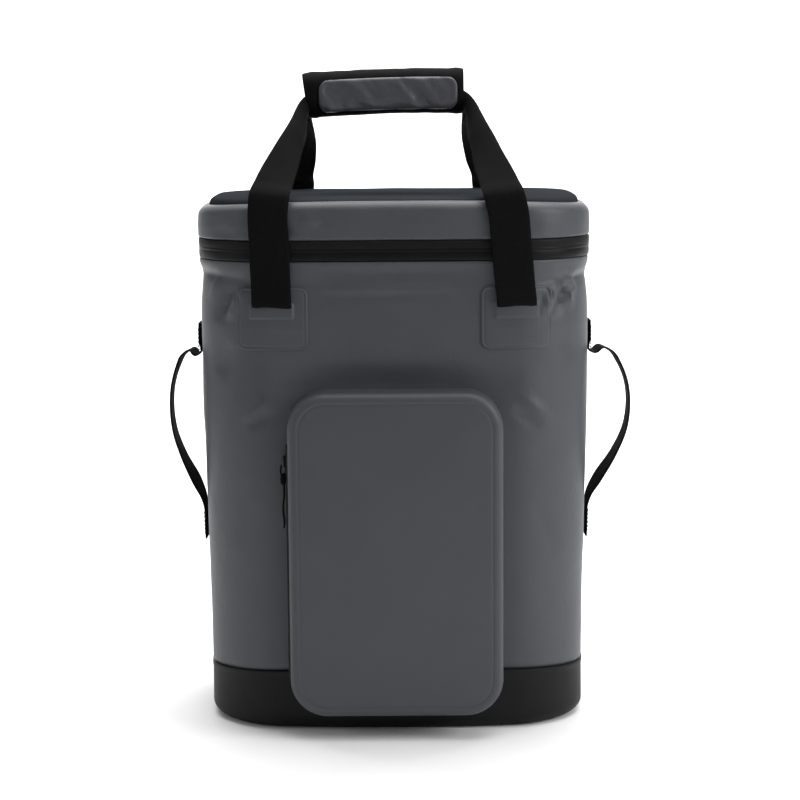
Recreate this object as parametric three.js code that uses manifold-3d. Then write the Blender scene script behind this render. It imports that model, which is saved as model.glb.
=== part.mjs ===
// A soft cooler worn as a backpack: a foam-walled bag in a moulded boot, a zipped lid, a front
// pocket, a carry handle of two webbings, a webbing loop on each side and padded shoulder straps.
// Millimetres, +Z up, the front faces -Y. The origin is the middle of the base, on the ground.

import * as THREE from "three";
import Module from "manifold-3d";

const wasm = await Module();
wasm.setup();

// The bag
const bagHeight = 432;
const bagWidth = 320;
const bagDepth = 208;
const cornerRadius = 60;
const wallThickness = 16;
const floorThickness = 18;
const clearance = 0.35;

// The boot round the base
const bootHeight = 50.7;
const bootThickness = 3;
const bootEdgeRadius = 13;

// The lid, and the zip band between lid and bag
const lidHeight = 32;
const lidThickness = 20;
const lidRimRadius = 9;
const lidRimDrop = 1.5;
const lidDroop = 5;
const lidPanelMargin = 9;
const lidPanelThickness = 7;
const lidPanelRound = 4;
const zipBandHeight = 16.5;
const zipChainHeight = 2.4;
const zipTapeThickness = 2.4;
const zipChainProud = 0.6;
const lidSliderSetBack = 52;
const lidSliderLength = 14;
const lidSliderWidth = 9;
const lidSliderThickness = 4;
const lidPullLength = 26;
const lidPullWidth = 8;
const lidPullThickness = 2;

// The front pocket
const pocketWidth = 170.5;
const pocketHeight = 262;
const pocketBottom = 20;
const pocketDepth = 30;
const pocketRoot = 20;
const pocketCorner = 30;
const pocketEdgeRadius = 7;
const pocketCrown = 2.5;
const pocketWall = 3;
const pocketZipLength = 190;
const pocketZipWidth = 12;
const pocketZipThickness = 1.2;
const pocketZipSlit = 3;
const pocketSliderLength = 9;
const pocketSliderWidth = 8;
const pocketSliderThickness = 3.4;
const pocketPullLength = 50;
const pocketPullWidth = 8;
const pocketPullThickness = 2.5;

// The carry handle
const webbingWidth = 32;
const webbingThickness = 1.8;
const handleSpacing = 194;
const handleTop = 534.6;
const handleSway = -6.3;
const strapEndHeight = 350.2;
const patchWidth = 57;
const patchHeight = 50;
const patchCorner = 7;
const patchThickness = 1.2;
const patchBottom = 313;
const patchBlockHeight = 13;
const patchBlockThickness = 1.4;
const gripNarrowing = 60;
const wrapHeight = 37;
const wrapThickness = 31;
const wrapWall = 3.4;
const wrapArch = 1.6;
const wrapTilt = 1.6;
const webbingCurl = 135;
const webbingDrop = 1;
const webbingTurnLength = 40;
const padMargin = 10;
const padThickness = 2;
const padTopMargin = 7;
const padBottomMargin = 4;
const padShift = 2.5;

// The side handles
const sideWebbingWidth = 25;
const sideHandleSetForward = 25;
const sideLoopBottom = 177;
const sideLoopHeight = 121;
const sideLoopReach = { left: 25, right: 33 };
const sideLoopBend = 5;
const sideUpperTab = 30;
const sideLowerTab = 30;

// The back: panel, shoulder straps and their fastening
const backPanelWidth = 236;
const backPanelMargin = 7;
const backPanelLift = 16;
const backPanelCorner = 40;
const backPanelThickness = 9;
const yokeWidth = 126;
const yokeBottom = 316;
const yokeHeight = 40;
const yokeThickness = 2;
const shoulderPadWidth = 56;
const shoulderPadThickness = 9;
const shoulderPadEdge = 2.5;
const shoulderBow = 46;
const lowerWebbingWidth = 25;
const buckleWidth = 36;
const buckleLength = 24;
const buckleThickness = 5;
const buckleSlot = 5;
const anchorHeight = 26;
const anchorSpacing = 204;
const anchorThickness = 1.6;

// How round things are cut into facets
const facets = {
  corner: 6, side: 3, front: 8, rear: 6, edge: 3, webbing: 4, pull: 6, grip: 6, shoulderPad: 14,
  loopRow: 3, strapRow: 3,
};
const pocketFacets = { corner: 5, side: 3, front: 3, rear: 3 };
const gripFacets = { corner: 3, side: 2, front: 1, rear: 1 };
const blockFacets = { corner: 3, side: 1, front: 1, rear: 1 };

const bandTop = bagHeight - lidHeight;
const bandBottom = bandTop - zipBandHeight;
const zipInset = zipTapeThickness + clearance;
const bootInset = bootThickness + clearance;
const chainBottom = (bandBottom + bandTop - zipChainHeight) / 2;
const wrapLength = handleSpacing - gripNarrowing;
const webbingHeldLength = wrapLength - 2 * webbingTurnLength;
const padLength = wrapLength - 2 * padMargin;
const collarTop = chainBottom + zipChainHeight / 2;
const rimTopOfLid = bagHeight - lidRimDrop;
const frontOfPocket = bagDepth / 2 + pocketDepth;
const backPanelBottom = bootHeight + anchorHeight + backPanelLift;
const backPanelTop = yokeBottom - backPanelMargin;

// The bag's outer form from the ground up. Height is a share of the bag's height. Width, depth and
// corner are shares of half the width, half the depth and the corner radius. The bulges say how far
// a face falls back at its ends, as shares of half the depth, or of half the width for the sides.
const bagSections = [
  { height: 0.0, width: 0.978, depth: 0.985, corner: 0.9, front: 0.13, side: 0.05, rear: 0.02 },
  { height: 0.117, width: 0.976, depth: 0.99, corner: 0.9, front: 0.13, side: 0.05, rear: 0.02 },
  { height: 0.21, width: 0.978, depth: 1.0, corner: 0.92, front: 0.12, side: 0.055, rear: 0.02 },
  { height: 0.31, width: 0.984, depth: 1.005, corner: 0.93, front: 0.11, side: 0.06, rear: 0.02 },
  { height: 0.44, width: 0.991, depth: 1.01, corner: 0.94, front: 0.1, side: 0.063, rear: 0.02 },
  { height: 0.58, width: 0.999, depth: 1.01, corner: 0.95, front: 0.09, side: 0.063, rear: 0.02 },
  { height: 0.69, width: 1.0, depth: 1.0, corner: 0.96, front: 0.08, side: 0.06, rear: 0.02 },
  { height: 0.765, width: 0.999, depth: 1.008, corner: 0.97, front: 0.07, side: 0.055, rear: 0.02 },
  { height: 0.81, width: 0.994, depth: 1.0, corner: 0.98, front: 0.06, side: 0.05, rear: 0.02 },
  { height: 0.846, width: 0.984, depth: 0.985, corner: 0.98, front: 0.045, side: 0.045, rear: 0.02 },
  { height: 0.872, width: 0.994, depth: 0.993, corner: 1.0, front: 0.04, side: 0.04, rear: 0.02 },
  { height: 0.888, width: 1.0, depth: 1.0, corner: 1.0, front: 0.038, side: 0.038, rear: 0.02 },
  { height: 0.955, width: 1.006, depth: 1.006, corner: 1.0, front: 0.038, side: 0.038, rear: 0.02 },
  { height: 1.0, width: 1.0, depth: 1.0, corner: 1.0, front: 0.036, side: 0.036, rear: 0.02 },
];

// How the pocket's front swells: rise is a share of its crown, inset a share of its width.
const pocketCrownRows = [
  { inset: 0.2, rise: 0.7 },
  { inset: 0.33, rise: 1.0 },
];

// One leg of a carry webbing above the lid's rim, as it goes over to the grip. Front and rear are
// the front and the rear webbing's spread, as shares of half the handle's spacing, and frontSway and
// rearSway their shares of the handle's sway. Depth is a share of half the bag's depth, rise a share
// of the way from the lid's top to the grip, lean the webbing's turn from lying flat to standing on
// edge, in degrees, and curl a share of its curl inside the grip.
const handleLeg = [
  { front: 0.97, rear: 0.885, frontSway: 0.78, rearSway: 0.1, depth: 1.0, rise: 0.045, lean: 1, curl: 0.0 },
  { front: 0.925, rear: 0.865, frontSway: 0.8, rearSway: 0.2, depth: 0.86, rise: 0.17, lean: 3, curl: 0.03 },
  { front: 0.834, rear: 0.8, frontSway: 0.85, rearSway: 0.4, depth: 0.64, rise: 0.38, lean: 9, curl: 0.12 },
  { front: 0.767, rear: 0.75, frontSway: 0.9, rearSway: 0.6, depth: 0.42, rise: 0.59, lean: 16, curl: 0.3 },
  { front: 0.735, rear: 0.72, frontSway: 0.95, rearSway: 0.8, depth: 0.16, rise: 0.79, lean: 30, curl: 0.6 },
  { front: 0.705, rear: 0.7, frontSway: 1.0, rearSway: 0.95, depth: 0.02, rise: 0.93, lean: 52, curl: 0.9 },
  { front: 0.655, rear: 0.655, frontSway: 1.0, rearSway: 1.0, depth: 0.0, rise: 0.99, lean: 70, curl: 1.0 },
  { front: 0.56, rear: 0.56, frontSway: 1.0, rearSway: 1.0, depth: 0.0, rise: 1.005, lean: 88, curl: 1.0 },
];

// A side handle's loop from its lower to its upper seam: how far out it stands, as a share of its
// reach, and how high, as a share of its height.
const sideLoop = [
  { out: 0.05, height: 0.0 },
  { out: 0.3, height: 0.09 },
  { out: 0.63, height: 0.25 },
  { out: 0.93, height: 0.45 },
  { out: 1.0, height: 0.62 },
  { out: 0.94, height: 0.82 },
  { out: 0.74, height: 0.96 },
  { out: 0.54, height: 1.01 },
  { out: 0.3, height: 0.975 },
  { out: 0.05, height: 1.0 },
];

// A shoulder pad from its sewn top down: its middle from the bag's centre line, as a share of half
// the anchors' spacing, how far it stands off the back, as a share of its bow, and its height, as a
// share of the bag's.
const shoulderPad = [
  { across: 0.33, off: 0.0, height: 0.812 },
  { across: 0.33, off: 0.0, height: 0.765 },
  { across: 0.35, off: 0.42, height: 0.712 },
  { across: 0.41, off: 0.86, height: 0.62 },
  { across: 0.5, off: 1.0, height: 0.51 },
  { across: 0.6, off: 0.88, height: 0.4 },
  { across: 0.69, off: 0.62, height: 0.315 },
];

const finishes = {
  greyCloth: { color: 0x46494e, roughness: 0.62, metalness: 0 },
  greyPad: { color: 0x4a4b52, roughness: 0.45, metalness: 0 },
  darkPanel: { color: 0x2f3237, roughness: 0.6, metalness: 0 },
  boot: { color: 0x1d1d1e, roughness: 0.55, metalness: 0 },
  zip: { color: 0x121213, roughness: 0.45, metalness: 0 },
  webbing: { color: 0x161616, roughness: 0.85, metalness: 0 },
  wrap: { color: 0x131314, roughness: 0.6, metalness: 0 },
  mesh: { color: 0x1c1c1e, roughness: 0.9, metalness: 0 },
  moulded: { color: 0x141414, roughness: 0.5, metalness: 0 },
};

const bag = new THREE.Group();

/** Adds a closed geometry to a group as a named piece with one of the finishes. */
function addPiece(name, geometry, finish) {
  geometry.computeVertexNormals();
  const mesh = new THREE.Mesh(geometry, new THREE.MeshStandardMaterial(finishes[finish]));
  mesh.name = name;
  bag.add(mesh);
  return mesh;
}

/** Six times the volume inside an indexed mesh, negative where its faces point inwards. */
function signedVolume(points, indices) {
  let total = 0;
  for (let i = 0; i < indices.length; i += 3) {
    const [a, b, c] = [points[indices[i]], points[indices[i + 1]], points[indices[i + 2]]];
    total += a.dot(new THREE.Vector3().crossVectors(b, c));
  }
  return total;
}

/** Faces that close a ring of points, as a ladder between its two halves. */
function ladder(ring, first) {
  const faces = [];
  for (let low = 0, high = ring.length - 1; low + 1 < high; low += 1, high -= 1) {
    faces.push(first + low, first + low + 1, first + high);
    if (low + 1 < high - 1) {
      faces.push(first + low + 1, first + high - 1, first + high);
    }
  }
  return faces;
}

/** A closed skin through rings of as many points each, capped at both ends. */
function loft(rings) {
  const points = rings.flat();
  const count = rings[0].length;
  const indices = [];
  for (let ring = 0; ring + 1 < rings.length; ring += 1) {
    for (let i = 0; i < count; i += 1) {
      const next = (i + 1) % count;
      const [a, b] = [ring * count + i, ring * count + next];
      indices.push(a, b, b + count, a, b + count, a + count);
    }
  }
  const last = (rings.length - 1) * count;
  const start = ladder(rings[0], 0);
  indices.push(...start.reverse(), ...ladder(rings[rings.length - 1], last));
  if (signedVolume(points, indices) < 0) {
    indices.reverse();
  }
  const geometry = new THREE.BufferGeometry().setFromPoints(points);
  geometry.setIndex(indices);
  return geometry;
}

/** A three.js geometry as a solid that can be joined and cut. */
function toSolid(geometry) {
  const vertProperties = new Float32Array(geometry.getAttribute("position").array);
  const triVerts = new Uint32Array(geometry.index.array);
  return new wasm.Manifold(new wasm.Mesh({ numProp: 3, vertProperties, triVerts }));
}

/** A solid as a three.js geometry. */
function toGeometry(solid) {
  const mesh = solid.getMesh();
  const geometry = new THREE.BufferGeometry();
  geometry.setAttribute("position", new THREE.BufferAttribute(mesh.vertProperties, 3));
  geometry.setIndex(new THREE.BufferAttribute(mesh.triVerts, 1));
  return geometry;
}

/** A rounded rectangle's points, counterclockwise, from its rear end at the left. */
function roundedOutline(halfWidth, halfDepth, radius, steps) {
  const [x, y] = [halfWidth - radius, halfDepth - radius];
  const corners = [
    { x: -x, y, from: 0.5 * Math.PI, then: steps.side },
    { x: -x, y: -y, from: Math.PI, then: steps.front },
    { x, y: -y, from: 1.5 * Math.PI, then: steps.side },
    { x, y, from: 0, then: steps.rear },
  ];
  const arcs = corners.map((corner) => {
    const arc = new THREE.EllipseCurve(
      corner.x, corner.y, radius, radius, corner.from, corner.from + 0.5 * Math.PI);
    return arc.getPoints(steps.corner);
  });
  return arcs.flatMap((arc, index) => {
    const end = arc[arc.length - 1];
    const straight = new THREE.LineCurve(end, arcs[(index + 1) % arcs.length][0]);
    return [...arc, ...straight.getPoints(corners[index].then).slice(1, -1)];
  });
}

/** The bag's section at a height, worked out between the two rows of its table. */
function sectionAt(height) {
  const share = THREE.MathUtils.clamp(height / bagHeight, 0, 1);
  const above = Math.max(1, bagSections.findIndex((row) => row.height >= share));
  const [low, high] = [bagSections[above - 1], bagSections[above]];
  const part = (share - low.height) / (high.height - low.height);
  const between = (column) => THREE.MathUtils.lerp(low[column], high[column], part);
  return {
    halfWidth: (bagWidth / 2) * between("width"),
    halfDepth: (bagDepth / 2) * between("depth"),
    radius: cornerRadius * between("corner"),
    front: between("front"),
    side: between("side"),
    rear: between("rear"),
  };
}

/** The bag's outline at a height, moved out by an offset, as points in space. */
function bagRing(height, offset) {
  const section = sectionAt(height);
  const halfWidth = section.halfWidth + offset;
  const halfDepth = section.halfDepth + offset;
  const outline = roundedOutline(halfWidth, halfDepth, section.radius + offset, facets);
  return outline.map((point) => {
    const lengthwise = (point.y / halfDepth) ** 2;
    const crosswise = (point.x / halfWidth) ** 2;
    const x = point.x * (1 - section.side * lengthwise);
    const y = point.y * (1 - (point.y < 0 ? section.front : section.rear) * crosswise);
    return new THREE.Vector3(x, y, height);
  });
}

/** Heights and offsets from one height to another, with a step at each row of the bag's table. */
function along(from, to, offset) {
  const [low, high] = [Math.min(from, to), Math.max(from, to)];
  const rows = bagSections.map((row) => row.height * bagHeight);
  const steps = rows.filter((height) => height > low && height < high);
  if (to < from) {
    steps.reverse();
  }
  return [from, ...steps, to].map((height) => ({ height, offset }));
}

/** Heights and offsets up a quarter circle from a flat bottom to an upright wall. */
function bottomRound(bottom, radius, offset) {
  const steps = Array.from({ length: facets.edge + 1 }, (_, step) => step / facets.edge);
  return steps.map((share) => {
    const angle = share * 0.5 * Math.PI;
    return {
      height: bottom + radius * (1 - Math.cos(angle)),
      offset: offset - radius * (1 - Math.sin(angle)),
    };
  });
}

/** Heights and offsets over a quarter circle from an upright wall to a flat top. */
function topRound(top, radius, offset) {
  const steps = Array.from({ length: facets.edge + 1 }, (_, step) => step / facets.edge);
  return steps.map((share) => {
    const angle = share * 0.5 * Math.PI;
    return {
      height: top - radius * (1 - Math.sin(angle)),
      offset: offset - radius * (1 - Math.cos(angle)),
    };
  });
}

/** A solid round the bag's axis through heights and offsets, each used once. */
function bagLoft(profile) {
  const used = profile.filter((step, index) => {
    const before = profile[index - 1];
    return !before || before.height !== step.height || before.offset !== step.offset;
  });
  return loft(used.map((step) => bagRing(step.height, step.offset)));
}

/** The bag's whole outer form, grown by an offset, with its round rim. */
function envelope(offset) {
  const rim = topRound(bagHeight + offset, lidRimRadius + offset, offset);
  const walls = along(0, bagHeight - lidRimRadius, offset).slice(1, -1);
  return toSolid(bagLoft([{ height: -offset, offset }, ...walls, ...rim]));
}

const seat = envelope(clearance);

/** A skin that lies on the bag, from a gap above it to a thickness above that. */
function layer(gap, thickness) {
  return envelope(gap + thickness).subtract(envelope(gap));
}

/** How far the bag's front or rear face is from its middle, at a distance across and a height. */
function faceDepth(across, height, offset, toRear) {
  const ring = bagRing(height, offset);
  const outward = toRear ? 1 : -1;
  let depth = 0;
  ring.forEach((point, index) => {
    const next = ring[(index + 1) % ring.length];
    const [low, high] = [Math.min(point.x, next.x), Math.max(point.x, next.x)];
    if (across >= low && across <= high && high > low) {
      const share = (across - point.x) / (next.x - point.x);
      depth = Math.max(depth, outward * THREE.MathUtils.lerp(point.y, next.y, share));
    }
  });
  return depth;
}

/** How far a point on the bag's side, at a distance from the middle and a height, stands out. */
function sideReach(lengthwise, height, offset) {
  const ring = bagRing(height, offset);
  let reach = 0;
  ring.forEach((point, index) => {
    const next = ring[(index + 1) % ring.length];
    const [low, high] = [Math.min(point.y, next.y), Math.max(point.y, next.y)];
    if (point.x > 0 && next.x > 0 && lengthwise >= low && lengthwise <= high && high > low) {
      const share = (lengthwise - point.y) / (next.y - point.y);
      reach = Math.max(reach, THREE.MathUtils.lerp(point.x, next.x, share));
    }
  });
  return reach;
}

/** A box between two corners. */
function box(low, high) {
  const size = new THREE.Vector3().subVectors(high, low);
  const middle = new THREE.Vector3().addVectors(low, high).multiplyScalar(0.5);
  const outline = new THREE.Shape();
  outline.moveTo(-size.x / 2, -size.y / 2);
  outline.lineTo(size.x / 2, -size.y / 2);
  outline.lineTo(size.x / 2, size.y / 2);
  outline.lineTo(-size.x / 2, size.y / 2);
  const floor = outline.getPoints().slice(0, 4);
  const ring = (z) => floor.map((point) => new THREE.Vector3(point.x, point.y, z).add(middle));
  return loft([ring(-size.z / 2), ring(size.z / 2)]);
}

/** A block with a rounded outline as seen from the front, through the bag's front or rear half. */
function block(middleX, bottom, width, height, corner, toFront) {
  const outline = roundedOutline(width / 2, height / 2, corner, blockFacets);
  const far = (toFront ? -1 : 1) * bagDepth;
  const ring = (y) =>
    outline.map((point) => new THREE.Vector3(point.x + middleX, y, point.y + bottom + height / 2));
  return toSolid(loft([ring(0), ring(far)]));
}

/**
 * A strip through stations, each with its middle, its direction across, its normal and, where its
 * edges curl along the normal, the angle that the curl turns through.
 */
function ribbon(stations, width, thickness, columns = 1) {
  const shares = Array.from({ length: columns + 1 }, (_, i) => i / columns - 0.5);
  const rings = stations.map(({ middle, across, normal, curl = 0 }) => {
    const edge = (share, side) => {
      const turn = share * curl;
      const radius = curl > 0 ? width / curl : 0;
      const sideways = curl > 0 ? radius * Math.sin(turn) : share * width;
      const back = radius * (1 - Math.cos(turn));
      const out = (side * thickness) / 2;
      return middle.clone()
        .addScaledVector(across, sideways - out * Math.sin(turn))
        .addScaledVector(normal, back + out * Math.cos(turn));
    };
    return [...shares.map((share) => edge(share, -1)), ...shares.map((share) => edge(-share, 1))];
  });
  return loft(rings);
}

/** Stations for a ribbon along points, whose direction across is given near each of them. */
function stationsAlong(points, acrossNear) {
  return points.map((middle, index) => {
    const before = points[Math.max(0, index - 1)];
    const after = points[Math.min(points.length - 1, index + 1)];
    const tangent = new THREE.Vector3().subVectors(after, before).normalize();
    const across = acrossNear[index].clone();
    across.addScaledVector(tangent, -across.dot(tangent)).normalize();
    const normal = new THREE.Vector3().crossVectors(tangent, across);
    return { middle, across, normal };
  });
}

/** The bag: a cup with foam walls, let into the boot below and into the zip band above. */
function makeBody() {
  const inside = [collarTop, collarTop / 2, floorThickness];
  return bagLoft([
    ...bottomRound(bootInset, bootEdgeRadius - bootInset, -bootInset),
    { height: bootHeight, offset: -bootInset },
    ...along(bootHeight, bandBottom, 0),
    ...along(bandBottom, collarTop, -zipInset),
    ...inside.map((height) => ({ height, offset: -wallThickness })),
  ]);
}

/** The boot: a thin cup with a round lower edge. */
function makeBoot() {
  const inside = bottomRound(bootThickness, bootEdgeRadius - bootThickness, -bootThickness);
  return bagLoft([
    ...bottomRound(0, bootEdgeRadius, 0),
    ...along(bootEdgeRadius, bootHeight - clearance, 0),
    ...along(bootHeight - clearance, bootEdgeRadius, -bootThickness),
    ...inside.reverse(),
  ]);
}

/** The lid: thick on top, hollow below, with a round rim and a recess for its panel. */
function makeLid() {
  const recess = bagHeight - lidPanelThickness - clearance;
  return droopAtSides(bagLoft([
    { height: bagHeight - lidThickness, offset: -wallThickness },
    ...along(bagHeight - lidThickness, collarTop + clearance, -wallThickness).slice(1),
    ...along(collarTop + clearance, bandTop, -zipInset),
    ...along(bandTop, rimTopOfLid - lidRimRadius, 0),
    ...topRound(rimTopOfLid, lidRimRadius, 0),
    { height: recess, offset: -lidPanelMargin },
  ]), rimTopOfLid);
}

/** Lets the lid hang at its left and right, the more the higher a point is, up to a height. */
function droopAtSides(geometry, upTo) {
  const position = geometry.getAttribute("position");
  for (let index = 0; index < position.count; index += 1) {
    const height = position.getZ(index);
    const rise = Math.max(0, height - bandTop) / (rimTopOfLid - bandTop);
    const out = Math.abs(position.getX(index)) / (bagWidth / 2);
    if (height <= upTo) {
      position.setZ(index, height - lidDroop * rise * out ** 3);
    }
  }
  return geometry;
}

/** The padded panel let into the lid's top, round at its edge. */
function makeLidPanel() {
  const offset = -lidPanelMargin - clearance;
  const bottom = bagHeight - lidPanelThickness;
  return droopAtSides(bagLoft([
    { height: bottom, offset },
    ...topRound(bagHeight, lidPanelRound, offset),
  ]), bottom);
}

/** A strip of the zip band between two heights, along some of the outline's points. */
function bandStrip(bottom, top, proud, from, to) {
  const corners = [
    bagRing(bottom, -zipTapeThickness),
    bagRing(top, -zipTapeThickness),
    bagRing(top, proud),
    bagRing(bottom, proud),
  ];
  const rings = [];
  for (let index = from; index <= to; index += 1) {
    rings.push(corners.map((ring) => ring[index % ring.length]));
  }
  return loft(rings);
}

/** The zip round the front and sides, and the cloth hinge at the rear. */
function addZipBand() {
  const pointCount = bagRing(bandBottom, 0).length;
  const hingeStart = pointCount - facets.rear + 1;
  const hingeGap = 1;
  const [zipStart, zipEnd] = [hingeGap, hingeStart - 1 - hingeGap];
  const chainTop = chainBottom + zipChainHeight;
  const lower = bandStrip(bandBottom + clearance, chainBottom - clearance, 0, zipStart, zipEnd);
  const upper = bandStrip(chainTop + clearance, bandTop - clearance, 0, zipStart, zipEnd);
  const chain = bandStrip(chainBottom, chainTop, zipChainProud, zipStart, zipEnd);
  const [hingeBottom, hingeTop] = [bandBottom + clearance, bandTop - clearance];
  const hinge = bandStrip(hingeBottom, hingeTop, 0, hingeStart, pointCount - 1);
  addPiece("zip_tape_lower", lower, "zip");
  addPiece("zip_tape_upper", upper, "zip");
  addPiece("zip_chain", chain, "zip");
  addPiece("lid_hinge", hinge, "greyCloth");
}

/** The lid zip's slider and its hanging pull, at the rear end of the right side. */
function addLidSlider() {
  const middleY = lidSliderSetBack;
  const middleZ = chainBottom + zipChainHeight / 2;
  const face = sideReach(middleY, middleZ, zipChainProud + clearance);
  const slider = box(
    new THREE.Vector3(face, middleY - lidSliderLength / 2, middleZ - lidSliderWidth / 2),
    new THREE.Vector3(
      face + lidSliderThickness, middleY + lidSliderLength / 2, middleZ + lidSliderWidth / 2));
  const cut = toSolid(slider).subtract(envelope(zipChainProud + clearance));
  addPiece("lid_zip_slider", toGeometry(cut), "moulded");
  const pullTop = middleZ - lidSliderWidth / 2 - clearance;
  const pull = box(
    new THREE.Vector3(face, middleY - lidPullWidth / 2, pullTop - lidPullLength),
    new THREE.Vector3(face + lidPullThickness, middleY + lidPullWidth / 2, pullTop));
  addPiece("lid_zip_pull", toGeometry(toSolid(pull).subtract(seat)), "moulded");
}

/** The pocket's outline as seen from the front, inset and at a distance in front of the middle. */
function pocketRing(forward, inset) {
  const [halfWidth, halfHeight] = [pocketWidth / 2 - inset, pocketHeight / 2 - inset];
  const corner = Math.max(pocketCorner - inset, pocketEdgeRadius);
  const middle = pocketBottom + pocketHeight / 2;
  const outline = roundedOutline(halfWidth, halfHeight, corner, pocketFacets);
  return outline.map((point) => new THREE.Vector3(point.x, -forward, point.y + middle));
}

/** The front pocket: a moulded tray with its hollow towards the bag, and a slit for its zip. */
function makePocket() {
  const root = bagDepth / 2 - pocketRoot;
  const rim = frontOfPocket - pocketCrown;
  const edge = topRound(0, pocketEdgeRadius, 0).map((step) =>
    pocketRing(rim + step.height, -step.offset));
  const inner = rim - pocketWall;
  const tray = loft([
    pocketRing(inner, pocketWall + pocketEdgeRadius),
    pocketRing(inner - pocketEdgeRadius, pocketWall),
    pocketRing(root, pocketWall),
    pocketRing(root, 0),
    ...edge,
    ...pocketCrownRows.map((row) =>
      pocketRing(rim + row.rise * pocketCrown, row.inset * pocketWidth)),
  ]);
  const zip = pocketZipPlace();
  const slit = box(
    new THREE.Vector3(-pocketWidth / 2 - pocketWall, zip.y - pocketZipSlit / 2,
      zip.bottom + pocketZipWidth / 2),
    new THREE.Vector3(-pocketWidth / 2 + 2 * pocketWall, zip.y + pocketZipSlit / 2,
      zip.top - pocketZipWidth / 2));
  return toGeometry(toSolid(tray).subtract(seat).subtract(toSolid(slit)));
}

/** Where the pocket's zip lies on its left gusset. */
function pocketZipPlace() {
  const bottom = pocketBottom + pocketCorner;
  return {
    face: -pocketWidth / 2 - clearance,
    y: -bagDepth / 2 - pocketDepth / 2 + pocketZipSlit,
    bottom,
    top: bottom + Math.min(pocketZipLength, pocketHeight - 2 * pocketCorner),
  };
}

/** The pocket's zip: a coated tape, its slider near the top, and a flat pull hanging from it. */
function addPocketZip() {
  const zip = pocketZipPlace();
  const tape = box(
    new THREE.Vector3(zip.face - pocketZipThickness, zip.y - pocketZipWidth / 2, zip.bottom),
    new THREE.Vector3(zip.face, zip.y + pocketZipWidth / 2, zip.top));
  addPiece("pocket_zip_tape", tape, "zip");
  const sliderFace = zip.face - pocketZipThickness - clearance;
  const sliderTop = zip.top - pocketSliderLength;
  const slider = box(
    new THREE.Vector3(sliderFace - pocketSliderThickness, zip.y - pocketSliderWidth / 2,
      sliderTop - pocketSliderLength),
    new THREE.Vector3(sliderFace, zip.y + pocketSliderWidth / 2, sliderTop));
  addPiece("pocket_zip_slider", slider, "moulded");
  const pullTop = sliderTop - pocketSliderLength - clearance;
  const sway = pocketPullThickness / 2;
  const points = Array.from({ length: facets.pull + 1 }, (_, step) => {
    const share = step / facets.pull;
    const x = sliderFace - pocketPullThickness / 2 - sway * (1 - Math.cos(share * 2 * Math.PI));
    return new THREE.Vector3(x, zip.y, pullTop - share * pocketPullLength);
  });
  const across = points.map(() => new THREE.Vector3(0, 1, 0));
  const pull = ribbon(stationsAlong(points, across), pocketPullWidth, pocketPullThickness);
  addPiece("pocket_zip_pull", pull, "moulded");
}

/** The welded patches that hold the carry webbings, each with a raised block over a sewn end. */
function addStrapPatches() {
  const sheet = layer(clearance, patchThickness);
  const raised = layer(clearance, patchThickness + patchBlockThickness);
  const blockBottom = strapEndHeight - clearance - patchBlockHeight - webbingThickness;
  for (const end of ["front", "rear"]) {
    for (const side of ["left", "right"]) {
      const x = ((side === "left" ? -1 : 1) * handleSpacing) / 2;
      const toFront = end === "front";
      const flat = block(x, patchBottom, patchWidth, patchHeight, patchCorner, toFront);
      const bump = block(
        x, blockBottom, webbingWidth + webbingThickness, patchBlockHeight, webbingThickness, toFront);
      const patch = sheet.intersect(flat).add(raised.intersect(bump));
      addPiece(`strap_patch_${end}_${side}`, toGeometry(patch), "greyCloth");
    }
  }
}

/** The height of the grip's middle at a distance along it: it arches and leans a little. */
function gripMiddle(along) {
  const share = (2 * along) / wrapLength;
  return handleTop - wrapHeight / 2 + wrapTilt * share - wrapArch * share ** 2;
}

/** How a webbing lies in the grip: its curl, and how far its back stands from the middle. */
function webbingInGrip() {
  const curl = THREE.MathUtils.degToRad(webbingCurl);
  const hollow = (webbingWidth / curl) * (1 - Math.cos(curl / 2));
  return { curl, depth: hollow + webbingThickness + clearance };
}

/** Stations of one leg of a carry webbing, from its sewn end to the grip's mouth, as in front. */
function handleLegStations(side, toRear) {
  const standoff = patchThickness + 3 * clearance + webbingThickness / 2;
  const heights = [strapEndHeight, patchBottom + patchHeight, bandBottom, bandTop,
    rimTopOfLid - lidRimRadius];
  const spreadOf = (row) => (toRear ? row.rear : row.front) * (handleSpacing / 2);
  const swayOf = (row) => (toRear ? row.rearSway : row.frontSway) * handleSway;
  const atRim = handleLeg[0];
  const onBag = heights.map((height) => {
    const share = (height - strapEndHeight) / (bagHeight - strapEndHeight);
    const spread = THREE.MathUtils.lerp(handleSpacing / 2, spreadOf(atRim), share);
    const x = side * spread + swayOf(atRim) * share;
    const depth = faceDepth(x, height, 0, toRear);
    const edges = [x - webbingWidth / 2, x + webbingWidth / 2];
    const [left, right] = edges.map((edge) => faceDepth(edge, height, 0, toRear));
    return {
      middle: new THREE.Vector3(x, -depth - standoff, height),
      across: new THREE.Vector3(webbingWidth, left - right, 0).normalize(),
    };
  });
  const inGrip = webbingInGrip();
  const mouth = gripMiddle((side * wrapLength) / 2) - webbingDrop;
  const free = handleLeg.map((row) => {
    const lean = THREE.MathUtils.degToRad(row.lean);
    return {
      middle: new THREE.Vector3(
        side * spreadOf(row) + swayOf(row),
        -THREE.MathUtils.lerp(inGrip.depth, bagDepth / 2, row.depth),
        bagHeight + row.rise * (mouth - bagHeight)),
      across: new THREE.Vector3(Math.cos(lean), 0, side * Math.sin(lean)),
      curl: row.curl * inGrip.curl,
    };
  });
  return [...onBag, ...free];
}

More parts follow.
